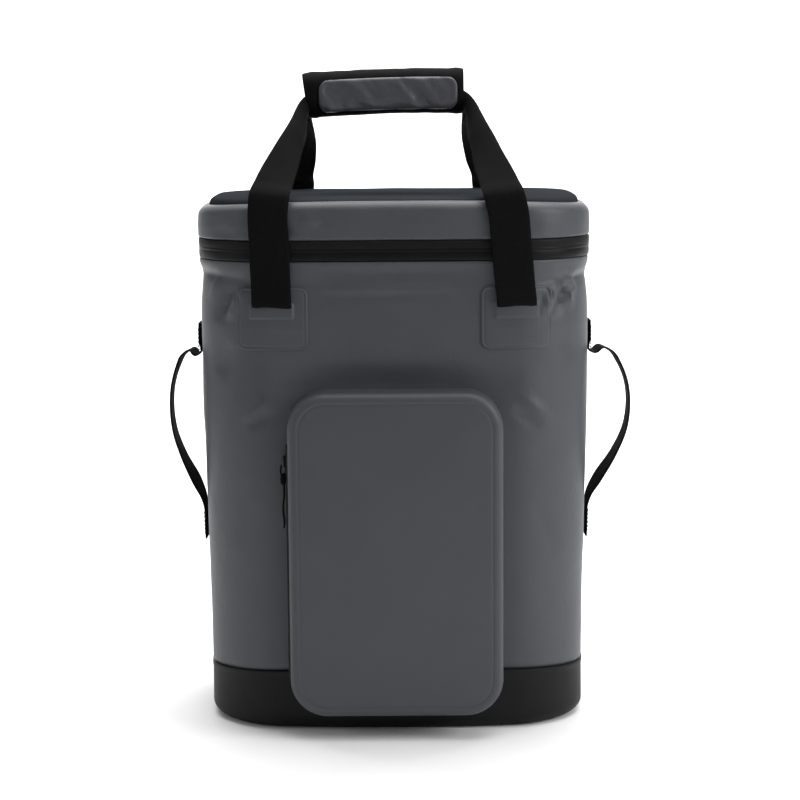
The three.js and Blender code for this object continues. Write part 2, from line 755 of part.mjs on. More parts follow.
/** A carry webbing from patch to patch through the grip, in front, or turned to lie behind. */
function makeHandleStrap(toRear) {
  const left = handleLegStations(-1, toRear);
  const right = handleLegStations(1, toRear).reverse();
  right.forEach((station) => station.across.negate());
  const lying = webbingInGrip();
  const inGrip = [-webbingHeldLength / 2, 0, webbingHeldLength / 2].map((at) => ({
    middle: new THREE.Vector3(handleSway + at, -lying.depth, gripMiddle(at) - webbingDrop),
    across: new THREE.Vector3(0, 0, -1),
    curl: lying.curl,
  }));
  const all = [...left, ...inGrip, ...right];
  const points = all.map((station) => station.middle);
  const stations = stationsAlong(points, all.map((station) => station.across)).map(
    (station, index) => ({ ...station, curl: all[index].curl }));
  const strap = toSolid(ribbon(stations, webbingWidth, webbingThickness, facets.webbing))
    .trimByPlane([0, -1, 0], clearance / 2);
  const placed = toRear ? strap.mirror([0, 1, 0]) : strap;
  return toGeometry(
    placed.subtract(envelope(patchThickness + 2 * clearance)).subtract(gripWall(clearance)));
}

/** A rounded section of the grip at a distance along it, as a ring that stands across it. */
function gripRing(along, height, thickness, corner) {
  const outline = roundedOutline(thickness / 2, height / 2, corner, gripFacets);
  return outline.map((point) =>
    new THREE.Vector3(handleSway + along, point.x, gripMiddle(along) + point.y));
}

/** A solid along the grip with a rounded section. */
function gripTube(length, height, thickness, corner = thickness / 2 - wrapWall / 2) {
  const shares = Array.from({ length: facets.grip + 1 }, (_, step) => step / facets.grip - 0.5);
  return toSolid(loft(shares.map((share) => gripRing(share * length, height, thickness, corner))));
}

/** The grip's sleeve, with all its faces moved out by a gap. */
function gripWall(gap) {
  const outer = gripTube(wrapLength + 2 * gap, wrapHeight + 2 * gap, wrapThickness + 2 * gap);
  const bore = 2 * (wrapWall + gap);
  return outer.subtract(
    gripTube(wrapLength + 2 * wrapWall, wrapHeight - bore, wrapThickness - bore));
}

/** The grip: a sleeve round both webbings, with a pad on its front and one on its rear. */
function addGrip() {
  addPiece("handle_wrap", toGeometry(gripWall(0)), "wrap");
  const [height, thickness] = [wrapHeight + 2 * clearance, wrapThickness + 2 * clearance];
  const shell = gripTube(padLength, height + 2 * padThickness, thickness + 2 * padThickness)
    .subtract(gripTube(wrapLength, height, thickness))
    .translate([padShift, 0, 0]);
  const bottom = handleTop - wrapHeight + padBottomMargin;
  for (const end of ["front", "rear"]) {
    const far = (end === "front" ? -1 : 1) * wrapThickness;
    const half = toSolid(box(
      new THREE.Vector3(handleSway - padLength, Math.min(0, far), bottom),
      new THREE.Vector3(handleSway + padLength, Math.max(0, far), handleTop - padTopMargin)));
    addPiece(`handle_pad_${end}`, toGeometry(shell.intersect(half)), "greyPad");
  }
}

/** A side handle: a webbing sewn down at both ends, standing out in a loop between them. */
function makeSideHandle(side) {
  const y = -sideHandleSetForward;
  const surface = (height) => {
    const edges = [y - sideWebbingWidth / 2, y + sideWebbingWidth / 2];
    return Math.max(...edges.map((edge) => sideReach(edge, height, 0)), sideReach(y, height, 0));
  };
  const standoff = webbingThickness / 2 + 2 * clearance;
  const reach = sideLoopReach[side < 0 ? "left" : "right"];
  const loop = new THREE.CatmullRomCurve3(sideLoop.map((row) => {
    const height = sideLoopBottom + row.height * sideLoopHeight;
    return new THREE.Vector3(surface(height) + standoff + row.out * reach, y, height);
  }));
  const tab = (height) => new THREE.Vector3(surface(height) + standoff, y, height);
  const loopTop = sideLoopBottom + sideLoopHeight;
  const points = [
    tab(sideLoopBottom - sideLowerTab),
    tab(sideLoopBottom - sideLoopBend),
    ...loop.getPoints(facets.loopRow * sideLoop.length),
    tab(loopTop + sideLoopBend),
    tab(loopTop + sideUpperTab),
  ].map((point) => new THREE.Vector3(side * point.x, point.y, point.z));
  const across = points.map(() => new THREE.Vector3(0, 1, 0));
  const webbing = ribbon(stationsAlong(points, across), sideWebbingWidth, webbingThickness);
  return toGeometry(toSolid(webbing).subtract(seat));
}

/** The padded panel on the wearer's back. */
function makeBackPanel() {
  const height = backPanelTop - backPanelBottom;
  const outline = block(0, backPanelBottom, backPanelWidth, height, backPanelCorner, false);
  return toGeometry(layer(clearance, backPanelThickness).intersect(outline));
}

/** The plate above the back panel that holds the shoulder straps. */
function makeYoke() {
  const outline = block(0, yokeBottom, yokeWidth, yokeHeight, patchCorner, false);
  return toGeometry(layer(clearance, yokeThickness).intersect(outline));
}

/** Where a shoulder pad's middle line runs, on the left or right side. */
function shoulderLine(side) {
  const face = bagDepth / 2 + clearance + yokeThickness + clearance + shoulderPadThickness / 2;
  const points = shoulderPad.map((row) => new THREE.Vector3(
    (side * row.across * anchorSpacing) / 2,
    face + 2 * clearance + row.off * shoulderBow,
    row.height * bagHeight));
  return new THREE.CatmullRomCurve3(points);
}

/** A padded shoulder strap with bevelled long edges. */
function makeShoulderPad(side) {
  const points = shoulderLine(side).getPoints(facets.shoulderPad);
  const stations = stationsAlong(points, points.map(() => new THREE.Vector3(1, 0, 0)));
  const [half, thin] = [shoulderPadWidth / 2, shoulderPadThickness / 2];
  const corners = [
    { across: -half, out: -thin + shoulderPadEdge },
    { across: -half + shoulderPadEdge, out: -thin },
    { across: half - shoulderPadEdge, out: -thin },
    { across: half, out: -thin + shoulderPadEdge },
    { across: half, out: thin - shoulderPadEdge },
    { across: half - shoulderPadEdge, out: thin },
    { across: -half + shoulderPadEdge, out: thin },
    { across: -half, out: thin - shoulderPadEdge },
  ];
  const pad = loft(stations.map(({ middle, across, normal }) => corners.map((corner) =>
    middle.clone().addScaledVector(across, corner.across).addScaledVector(normal, corner.out))));
  return toGeometry(toSolid(pad).subtract(envelope(yokeThickness + 2 * clearance)));
}

/** The buckle at a pad's lower end, the webbing below it and the tab that holds the webbing. */
function addLowerStrap(name, side) {
  const line = shoulderLine(side);
  const end = line.getPoint(1);
  const tangent = line.getTangent(1);
  const across = new THREE.Vector3(1, 0, 0);
  across.addScaledVector(tangent, -across.dot(tangent)).normalize();
  const normal = new THREE.Vector3().crossVectors(tangent, across);
  const place = new THREE.Matrix4().makeBasis(across, normal, tangent)
    .setPosition(end.clone().addScaledVector(tangent, clearance));
  const half = buckleWidth / 2;
  const frame = toSolid(box(
    new THREE.Vector3(-half, -buckleThickness / 2, 0),
    new THREE.Vector3(half, buckleThickness / 2, buckleLength)));
  const slot = toSolid(box(
    new THREE.Vector3(-lowerWebbingWidth / 2, -buckleThickness, (buckleLength - buckleSlot) / 2),
    new THREE.Vector3(lowerWebbingWidth / 2, buckleThickness, (buckleLength + buckleSlot) / 2)));
  const buckle = toGeometry(frame.subtract(slot));
  buckle.applyMatrix4(place);
  addPiece(`strap_buckle_${name}`, buckle, "moulded");

  const tabTop = bootHeight + anchorHeight;
  const anchorX = (side * anchorSpacing) / 2;
  const tabOutline = block(
    anchorX, bootHeight + clearance, lowerWebbingWidth + 2 * patchCorner, anchorHeight,
    patchCorner, false);
  const tab = layer(clearance, anchorThickness).intersect(tabOutline);
  addPiece(`strap_anchor_${name}`, toGeometry(tab), "webbing");

  const start = end.clone().addScaledVector(tangent, 2 * clearance + buckleLength);
  const standoff = anchorThickness + 3 * clearance + webbingThickness / 2;
  const onTab = (height) =>
    new THREE.Vector3(anchorX, faceDepth(anchorX, height, 0, true) + standoff, height);
  const overPanel = new THREE.Vector3(0, backPanelThickness + clearance, 0);
  const points = [
    start.clone().addScaledVector(tangent, buckleSlot),
    onTab(backPanelBottom + clearance).add(overPanel),
    onTab(tabTop - patchCorner),
    onTab(bootHeight + patchCorner),
  ];
  const curve = new THREE.CatmullRomCurve3(points);
  const route = [start, ...curve.getPoints(facets.strapRow * points.length)];
  const webbing = ribbon(
    stationsAlong(route, route.map(() => new THREE.Vector3(1, 0, 0))),
    lowerWebbingWidth, webbingThickness);
  const clear = toSolid(webbing).subtract(envelope(anchorThickness + 2 * clearance));
  addPiece(`lower_strap_${name}`, toGeometry(clear), "webbing");
}

addPiece("body_shell", makeBody(), "greyCloth");
addPiece("base_boot", makeBoot(), "boot");
addPiece("lid_shell", makeLid(), "greyCloth");
addPiece("lid_top_panel", makeLidPanel(), "darkPanel");
addZipBand();
addLidSlider();
addPiece("pocket_shell", makePocket(), "greyCloth");
addPocketZip();
addStrapPatches();
addPiece("handle_strap_front", makeHandleStrap(false), "webbing");
addPiece("handle_strap_rear", makeHandleStrap(true), "webbing");
addGrip();
addPiece("side_handle_left", makeSideHandle(-1), "webbing");
addPiece("side_handle_right", makeSideHandle(1), "webbing");
addPiece("back_panel", makeBackPanel(), "mesh");
addPiece("shoulder_yoke", makeYoke(), "webbing");
for (const [name, side] of [["left", -1], ["right", 1]]) {
  addPiece(`shoulder_pad_${name}`, makeShoulderPad(side), "mesh");
  addLowerStrap(name, side);
}

export default bag;
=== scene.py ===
"""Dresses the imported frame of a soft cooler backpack: cloth, pads, webbing, zips, light and camera.

Sizes are in millimetres and become metres where a mesh is made. The front faces -Y and +Z is up.
"""

import logging
import math
from dataclasses import dataclass, field
from enum import Enum
from typing import Mapping, Optional, Sequence

import bpy
import numpy as np
from mathutils import Matrix, Vector


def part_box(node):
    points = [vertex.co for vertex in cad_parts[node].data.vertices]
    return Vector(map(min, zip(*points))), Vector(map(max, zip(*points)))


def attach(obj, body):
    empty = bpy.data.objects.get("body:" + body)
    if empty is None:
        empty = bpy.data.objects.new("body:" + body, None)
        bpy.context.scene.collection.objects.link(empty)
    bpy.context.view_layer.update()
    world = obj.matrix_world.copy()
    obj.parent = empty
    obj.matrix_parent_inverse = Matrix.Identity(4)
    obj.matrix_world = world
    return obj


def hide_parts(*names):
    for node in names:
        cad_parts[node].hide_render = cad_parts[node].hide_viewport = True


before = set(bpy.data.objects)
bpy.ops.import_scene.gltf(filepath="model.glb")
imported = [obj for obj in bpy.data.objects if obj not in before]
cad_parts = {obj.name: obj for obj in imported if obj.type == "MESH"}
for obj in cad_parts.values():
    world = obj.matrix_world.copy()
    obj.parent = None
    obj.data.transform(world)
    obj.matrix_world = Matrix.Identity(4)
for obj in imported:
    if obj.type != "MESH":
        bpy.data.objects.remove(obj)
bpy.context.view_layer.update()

log = logging.getLogger("backpack")

MM = 0.001
FULL_TURN = 2 * math.pi
QUARTER_TURN = math.pi / 2
BODY = "root"
WEAVE_MAP = "weave"

# Sockets of the Mix node, which has several of each name
MIX_FACTOR = 0
MIX_FIRST_COLOUR = 6
MIX_SECOND_COLOUR = 7
MIX_COLOUR = 2

Pair = tuple[float, float]
Triple = tuple[float, float, float]
Colour = Triple


class Labelled(Enum):
    """A choice whose name is part of the frame's node names."""

    @property
    def label(self) -> str:
        """The name as the frame's nodes have it."""
        return self.name.lower()


class End(Labelled):
    """The front or the rear of the bag."""

    FRONT = -1
    REAR = 1


class Side(Labelled):
    """The left or the right of the bag, as seen from the front."""

    LEFT = -1
    RIGHT = 1


# Materials


class Value:
    """A number that changes over a surface: a socket of a node tree, for maths with operators."""

    def __init__(self, nodes: "Nodes", socket: bpy.types.NodeSocket) -> None:
        """Wraps a socket of a tree."""
        self.nodes = nodes
        self.socket = socket

    def _maths(self, operation: str, first: "Number", second: "Number") -> "Value":
        """Adds one Math node.

        Args:
            operation: the Math node's operation.
            first: its first value.
            second: its second value.

        Returns:
            The node's result.
        """
        node = self.nodes.add("Math", {"operation": operation}, {0: first, 1: second})
        return Value(self.nodes, node.outputs[0])

    def __add__(self, other: "Number") -> "Value":
        """This value and another one together."""
        return self._maths("ADD", self, other)

    __radd__ = __add__

    def __sub__(self, other: "Number") -> "Value":
        """This value less another one."""
        return self._maths("SUBTRACT", self, other)

    def __rsub__(self, other: "Number") -> "Value":
        """Another value less this one."""
        return self._maths("SUBTRACT", other, self)

    def __mul__(self, other: "Number") -> "Value":
        """This value times another one."""
        return self._maths("MULTIPLY", self, other)

    __rmul__ = __mul__

    def __abs__(self) -> "Value":
        """This value without its sign."""
        return self._maths("ABSOLUTE", self, 0.0)

    def sine(self) -> "Value":
        """The sine of this value."""
        return self._maths("SINE", self, 0.0)

    def ramp(self, low: float, high: float) -> "Value":
        """A smooth step from 0 to 1.

        Args:
            low: where the result leaves 0.
            high: where it reaches 1.

        Returns:
            The stepped value.
        """
        settings = {"interpolation_type": "SMOOTHSTEP"}
        node = self.nodes.add("MapRange", settings, {"Value": self, "From Min": low, "From Max": high})
        return Value(self.nodes, node.outputs[0])


Number = Value | float


class Nodes:
    """A material and its node tree, with a Principled BSDF to feed."""

    def __init__(self, name: str) -> None:
        """Makes the material with its shader and its output."""
        self.material = bpy.data.materials.new(name)
        self.material.use_nodes = True
        self.tree = self.material.node_tree
        self.tree.nodes.clear()
        self.shader = self.add("BsdfPrincipled")
        output = self.add("OutputMaterial")
        self.tree.links.new(self.shader.outputs[0], output.inputs["Surface"])

    def add(
        self,
        kind: str,
        settings: Optional[Mapping[str, object]] = None,
        inputs: Optional[Mapping[str | int, object]] = None,
    ) -> bpy.types.Node:
        """Adds a node: its settings come first, then what goes into its sockets.

        Args:
            kind: the node's type without its prefix.
            settings: its attributes.
            inputs: values, sockets or Values, by a socket's name or number.

        Returns:
            The node.
        """
        node = self.tree.nodes.new("ShaderNode" + kind)
        for key, value in (settings or {}).items():
            setattr(node, key, value)
        for key, value in (inputs or {}).items():
            self.feed(node.inputs[key], value)
        return node

    def feed(self, socket: bpy.types.NodeSocket, value: object) -> None:
        """Links a socket, or sets its own value.

        Args:
            socket: what is fed.
            value: a Value, a socket, a number, a colour or a vector.
        """
        source = value.socket if isinstance(value, Value) else value
        if isinstance(source, bpy.types.NodeSocket):
            self.tree.links.new(source, socket)
        elif socket.type == "RGBA":
            socket.default_value = (*source, 1.0)
        else:
            socket.default_value = source

    def set(self, **inputs: object) -> None:
        """Feeds the shader's sockets, each named with underscores for spaces."""
        for name, value in inputs.items():
            self.feed(self.shader.inputs[name.replace("_", " ")], value)

    def place(self) -> bpy.types.NodeSocket:
        """Where a point is on the object, in metres."""
        return self.add("TexCoord").outputs["Object"]

    def weave(self) -> tuple[Value, Value]:
        """How far a point is across and along its webbing, in millimetres.

        Returns:
            The distance across and the distance along.
        """
        spot = self.add("UVMap", {"uv_map": WEAVE_MAP}).outputs[0]
        parts = self.add("SeparateXYZ", None, {0: spot})
        return Value(self, parts.outputs[0]), Value(self, parts.outputs[1])

    def axes(self) -> tuple[Value, Value, Value]:
        """Where a point is on the object, in millimetres.

        Returns:
            The three distances from the object's origin.
        """
        parts = self.add("SeparateXYZ", None, {0: self.place()})
        x, y, z = (Value(self, output) * (1 / MM) for output in parts.outputs)
        return x, y, z

    def noise(
        self, size: float, detail: float = 2.0, warp: float = 0.0, stretch: Triple = (1, 1, 1)
    ) -> Value:
        """Noise with features of a given size.

        Args:
            size: a feature's size in millimetres.
            detail: how much finer noise lies on it.
            warp: how much it is warped.
            stretch: how much finer it is along each axis.

        Returns:
            The noise, from 0 to 1.
        """
        spot = self.add("Mapping", None, {"Vector": self.place(), "Scale": stretch}).outputs[0]
        inputs = {"Vector": spot, "Scale": 1 / (size * MM), "Detail": detail, "Distortion": warp}
        return Value(self, self.add("TexNoise", None, inputs).outputs[0])

    def blend(self, factor: Number, first: object, second: object) -> bpy.types.NodeSocket:
        """A colour between two colours.

        Args:
            factor: 0 for the first, 1 for the second.
            first: a colour or a socket.
            second: a colour or a socket.

        Returns:
            The mixed colour.
        """
        inputs = {MIX_FACTOR: factor, MIX_FIRST_COLOUR: first, MIX_SECOND_COLOUR: second}
        return self.add("Mix", {"data_type": "RGBA"}, inputs).outputs[MIX_COLOUR]

    def bump(self, height: Value, depth: float) -> bpy.types.NodeSocket:
        """A relief.

        Args:
            height: the relief, from 0 to 1.
            depth: how deep it is, in millimetres.

        Returns:
            The normal.
        """
        inputs = {"Height": height, "Distance": depth * MM, "Strength": 1.0}
        return self.add("Bump", None, inputs).outputs[0]


def shade(colour: Colour, factor: float) -> Colour:
    """A colour made darker or lighter by a factor."""
    red, green, blue = (channel * factor for channel in colour)
    return red, green, blue


@dataclass(frozen=True)
class CoatedCloth:
    """Tightly woven cloth under a smooth coat, a little crinkled.

    Sizes and depths are in millimetres, and the threads' pitch is in radians a millimetre.
    """

    name: str
    colour: Colour
    roughness: float = 0.5
    crinkle: float = 0.35
    grain: float = 0.035
    mottle: float = 0.05
    coat: float = 0.06
    gloss: float = 0.34
    coat_roughness: float = 0.32
    roughness_range: float = 0.12
    patch_size: float = 46.0
    crease_size: float = 17.0
    wrinkle_size: float = 5.5
    fibre_size: float = 0.9
    thread_pitch: float = 5.2

    def material(self) -> bpy.types.Material:
        """The cloth's material."""
        nodes = Nodes(self.name)
        patches = nodes.noise(self.patch_size, 3, 0.4)
        fibres = nodes.noise(self.fibre_size, 1)
        darker, lighter = shade(self.colour, 1 - self.mottle), shade(self.colour, 1 + self.mottle)
        tone = nodes.blend(patches.ramp(0.3, 0.7), darker, lighter)
        across, through, up = ((axis * self.thread_pitch).sine() for axis in nodes.axes())
        threads = across * up + through * 0.5
        soft = nodes.noise(self.crease_size, 3, 0.8) + nodes.noise(self.wrinkle_size, 2, 0.5) * 0.3
        relief = soft * self.crinkle + (threads * 0.3 + fibres) * self.grain
        nodes.set(
            Base_Color=nodes.blend(fibres * 0.25, tone, shade(self.colour, 0.8)),
            Roughness=self.roughness - 0.05 + self.roughness_range * patches,
            Coat_Weight=self.coat,
            Coat_Roughness=self.coat_roughness,
            Specular_IOR_Level=self.gloss,
            Normal=nodes.bump(relief, 1.0),
        )
        return nodes.material


@dataclass(frozen=True)
class MouldedSkin:
    """Moulded rubber or plastic with a fine grain, scuffed near the ground."""

    name: str
    colour: Colour
    roughness: float = 0.5
    grain_size: float = 0.8
    grain_depth: float = 0.03
    scuff_height: float = 0.0
    gloss: float = 0.3
    wave_size: float = 24.0
    wave_depth: float = 0.06
    scratch_size: float = 2.5
    scratch_stretch: Triple = (0.3, 0.3, 2.0)
    wear_everywhere: float = 0.12
    worn_tone: float = 2.4

    def material(self) -> bpy.types.Material:
        """The moulding's material."""
        nodes = Nodes(self.name)
        inputs = {"Vector": nodes.place(), "Scale": 1 / (self.grain_size * MM)}
        grain = Value(nodes, nodes.add("TexVoronoi", None, inputs).outputs["Distance"])
        waves = nodes.noise(self.wave_size, 4, 0.6)
        scratches = nodes.noise(self.scratch_size, 3, 0.3, self.scratch_stretch).ramp(0.58, 0.75)
        height = nodes.axes()[2]
        low = 1 - height.ramp(0.0, max(self.scuff_height, 1.0))
        wear = scratches * (low * 0.6 + self.wear_everywhere) * waves
        nodes.set(
            Base_Color=nodes.blend(wear, self.colour, shade(self.colour, self.worn_tone)),
            Roughness=self.roughness - 0.06 + 0.14 * waves + wear * 0.2,
            Specular_IOR_Level=self.gloss,
            Normal=nodes.bump(grain * self.grain_depth + waves * self.wave_depth, 1.0),
        )
        return nodes.material


@dataclass(frozen=True)
class Webbing:
    """Woven webbing: ribs along it, crossed by a fine twill. The two pitches are in millimetres."""

    name: str
    colour: Colour
    rib: float = 1.6
    pick: float = 1.1
    twill_depth: float = 0.11
    fluff_depth: float = 0.06
    fluff_size: float = 0.5
    fade_size: float = 30.0

    def material(self) -> bpy.types.Material:
        """The webbing's material."""
        nodes = Nodes(self.name)
        across, along = nodes.weave()
        ribs = (across * (FULL_TURN / self.rib)).sine()
        picks = ((along + abs(across * (1 / self.rib)).sine() * 0.4) * (FULL_TURN / self.pick)).sine()
        twill = ribs * 0.5 + picks * ribs * 0.35 + picks * 0.25
        fluff = nodes.noise(self.fluff_size, 2)
        worn = nodes.noise(self.fade_size, 3, 0.5)
        light = (twill * 0.2 + 0.5).ramp(0.3, 0.75) * 0.55 + fluff * 0.3
        nodes.set(
            Base_Color=nodes.blend(light, shade(self.colour, 0.5), shade(self.colour, 1.5)),
            Roughness=0.72 + 0.2 * worn,
            Specular_IOR_Level=0.05,
            Sheen_Weight=0.015,
            Sheen_Roughness=0.5,
            Normal=nodes.bump(twill * self.twill_depth + fluff * self.fluff_depth, 1.0),
        )
        return nodes.material


@dataclass(frozen=True)
class ZipTape:
    """Coated zip tape: smooth and a little glossy, with a fine weave under the coat."""

    name: str
    colour: Colour
    roughness: float = 0.38
    coat: float = 0.03
    smear_size: float = 12.0
    smear_depth: float = 0.05
    weave_pitch: float = 6.0
    weave_depth: float = 0.012

    def material(self) -> bpy.types.Material:
        """The tape's material."""
        nodes = Nodes(self.name)
        x, y, z = nodes.axes()
        weave = ((x + y + z) * self.weave_pitch).sine() * ((x - z) * self.weave_pitch).sine()
        smear = nodes.noise(self.smear_size, 3, 0.4, (1, 1, 3))
        nodes.set(
            Base_Color=nodes.blend(smear, shade(self.colour, 0.75), shade(self.colour, 1.5)),
            Roughness=self.roughness + 0.15 * smear,
            Coat_Weight=self.coat,
            Coat_Roughness=0.25,
            Specular_IOR_Level=0.12,
            Normal=nodes.bump(weave * self.weave_depth + smear * self.smear_depth, 1.0),
        )
        return nodes.material


@dataclass(frozen=True)
class SpacerMesh:
    """Padded mesh cloth with small round holes, painted dark inside as painted shade."""

    name: str
    colour: Colour
    hole: float = 2.6
    hole_depth: float = 0.4
    fuzz_size: float = 0.7
    fuzz_depth: float = 0.08
    fade_size: float = 40.0

    def material(self) -> bpy.types.Material:
        """The mesh cloth's material."""
        nodes = Nodes(self.name)
        x, _, z = nodes.axes()
        pitch = FULL_TURN / self.hole
        rows = (z * pitch).sine() * (x * pitch + (z * (pitch / 2)).sine() * 0.2).sine()
        open_part = rows.ramp(0.25, 0.6)
        fuzz = nodes.noise(self.fuzz_size, 2)
        faded = nodes.noise(self.fade_size, 3, 0.4)
        yarn = nodes.blend(fuzz * 0.7 + faded * 0.3, shade(self.colour, 0.7), shade(self.colour, 1.6))
        nodes.set(
            # The holes are painted darker than the yarn, as painted shade inside them.
            Base_Color=nodes.blend(open_part, yarn, shade(self.colour, 0.25)),
            Roughness=0.8 + 0.12 * fuzz,
            Specular_IOR_Level=0.2,
            Sheen_Weight=0.05,
            Sheen_Roughness=0.5,
            Normal=nodes.bump((1 - open_part) * self.hole_depth + fuzz * self.fuzz_depth, 1.0),
        )
        return nodes.material


@dataclass(frozen=True)
class Stage:
    """The plain pale paper that the object stands on."""

    name: str
    colour: Colour
    tooth_size: float = 40.0

    def material(self) -> bpy.types.Material:
        """The paper's material."""
        nodes = Nodes(self.name)
        tooth = nodes.noise(self.tooth_size, 2)
        nodes.set(
            Base_Color=nodes.blend(tooth * 0.2, self.colour, shade(self.colour, 0.985)),
            Roughness=0.85,
        )
        return nodes.material


class Finishes:
    """Every finish of the object, each made once."""

    def __init__(self) -> None:
        """Makes the materials."""
        grey = (0.047, 0.0515, 0.059)
        coated = CoatedCloth
        self.cloth = coated("grey_coated_cloth", grey).material()
        self.patch = coated("grey_welded_patch", shade(grey, 0.97), crinkle=0.12).material()
        self.pocket = coated("grey_pocket_skin", shade(grey, 0.98), crinkle=0.1, mottle=0.03).material()
        # The lid's top panel: a darker grey than the cloth, with no coat and no gloss, so that the lid's top
        # renders dark.
        panel_grey = (0.027, 0.03, 0.034)
        self.lid_top = coated("dark_lid_panel", panel_grey, 0.8, 0.25, coat=0.0, gloss=0.0).material()
        self.pad = coated("grey_grip_pad", (0.052, 0.053, 0.062), 0.36, 1.2, coat=0.15).material()
        black = (0.006, 0.006, 0.0065)
        sleeve_black = shade(black, 0.6)
        self.wrap = coated("black_grip_sleeve", sleeve_black, 0.7, 0.2, coat=0.0, gloss=0.05).material()
        self.binding = coated("black_edge_binding", black, 0.7, 0.15, coat=0.0, gloss=0.15).material()
        self.boot = MouldedSkin(
            "black_moulded_boot", (0.0065, 0.0065, 0.007), 0.5, grain_size=1.0, grain_depth=0.04,
            scuff_height=45.0, gloss=0.14).material()
        self.moulded = MouldedSkin("black_moulded_parts", (0.006, 0.006, 0.0065), 0.42).material()
        self.webbing = Webbing("black_webbing", (0.0042, 0.0042, 0.0046)).material()
        self.zip = ZipTape("black_coated_zip", (0.002, 0.002, 0.0024)).material()
        # The upper tape is a lighter copy of the zip's material: painted highlight for the light that the
        # upper tape catches from above, while the lower tape and the chain keep the darker zip colour.
        self.zip_upper = ZipTape("black_zip_upper_tape", (0.004, 0.004, 0.0046), 0.5, 0.02).material()
        self.mesh = SpacerMesh("black_spacer_mesh", (0.012, 0.012, 0.013)).material()
        self.paper = Stage("pale_paper", (0.92, 0.92, 0.92)).material()


# Forms


def unit(vectors: np.ndarray) -> np.ndarray:
    """Vectors with their last axis brought to length one."""
    return vectors / np.maximum(np.linalg.norm(vectors, axis=-1, keepdims=True), 1e-9)


def distances(path: np.ndarray) -> np.ndarray:
    """How far each point of a path is along it."""
    return np.concatenate([[0.0], np.cumsum(np.linalg.norm(np.diff(path, axis=0), axis=1))])


def sorted_by(points: np.ndarray, column: int) -> np.ndarray:
    """Points in the order of one of their numbers."""
    return points[np.argsort(points[:, column])]


def quarter(radius: float, steps: int) -> list[Pair]:
    """A quarter circle, as what lies between it and its square's two sides, step by step."""
    angles = np.linspace(0, QUARTER_TURN, steps)
    return [(radius * (1 - math.cos(angle)), radius * (1 - math.sin(angle))) for angle in angles]


def smooth_path(rows: np.ndarray, steps: int) -> np.ndarray:
    """A smooth curve through rows of numbers, at even distances for its first three columns.

    Args:
        rows: the rows, whose first three columns are points.
        steps: how many rows come out.

    Returns:
        The new rows.
    """
    gaps = np.maximum(np.linalg.norm(np.diff(rows[:, :3], axis=0), axis=1), 1e-6)
    knots = np.concatenate([[0.0], np.cumsum(gaps)])
    slopes = np.diff(rows, axis=0) / gaps[:, None]
    inner = (slopes[:-1] * gaps[1:, None] + slopes[1:] * gaps[:-1, None]) / (gaps[:-1] + gaps[1:])[:, None]
    tangents = np.vstack([slopes[:1], inner, slopes[-1:]])
    at = np.linspace(0.0, knots[-1], steps)
    low = np.clip(np.searchsorted(knots, at, side="right") - 1, 0, len(rows) - 2)
    width = gaps[low]
    t = ((at - knots[low]) / width)[:, None]
    width = width[:, None]
    return (
        (2 * t**3 - 3 * t**2 + 1) * rows[low]
        + (t**3 - 2 * t**2 + t) * width * tangents[low]
        + (3 * t**2 - 2 * t**3) * rows[low + 1]
        + (t**3 - t**2) * width * tangents[low + 1]
    )


class Lumps:
    """Smooth seeded noise in space, for the small unevenness of soft goods."""

    def __init__(self, size: float, seed: int) -> None:
        """Makes the noise.

        Args:
            size: a lump's size in millimetres.
            seed: which noise it is.
        """
        self.size = size
        self.cells = 32
        self.table = np.random.default_rng(seed).random((self.cells,) * 3) * 2 - 1

    def at(self, points: np.ndarray) -> np.ndarray:
        """The noise at points.

        Args:
            points: points whose last axis has three numbers, in millimetres.

        Returns:
            Numbers from -1 to 1.
        """
        spot = points / self.size + 1000.0
        cell = np.floor(spot).astype(int)
        part = spot - cell
        part = part * part * (3 - 2 * part)
        total = np.zeros(points.shape[:-1])
        for corner in np.ndindex(2, 2, 2):
            index = (cell + np.array(corner)) % self.cells
            share = np.prod(np.where(np.array(corner) == 1, part, 1 - part), axis=-1)
            total += share * self.table[index[..., 0], index[..., 1], index[..., 2]]
        return total


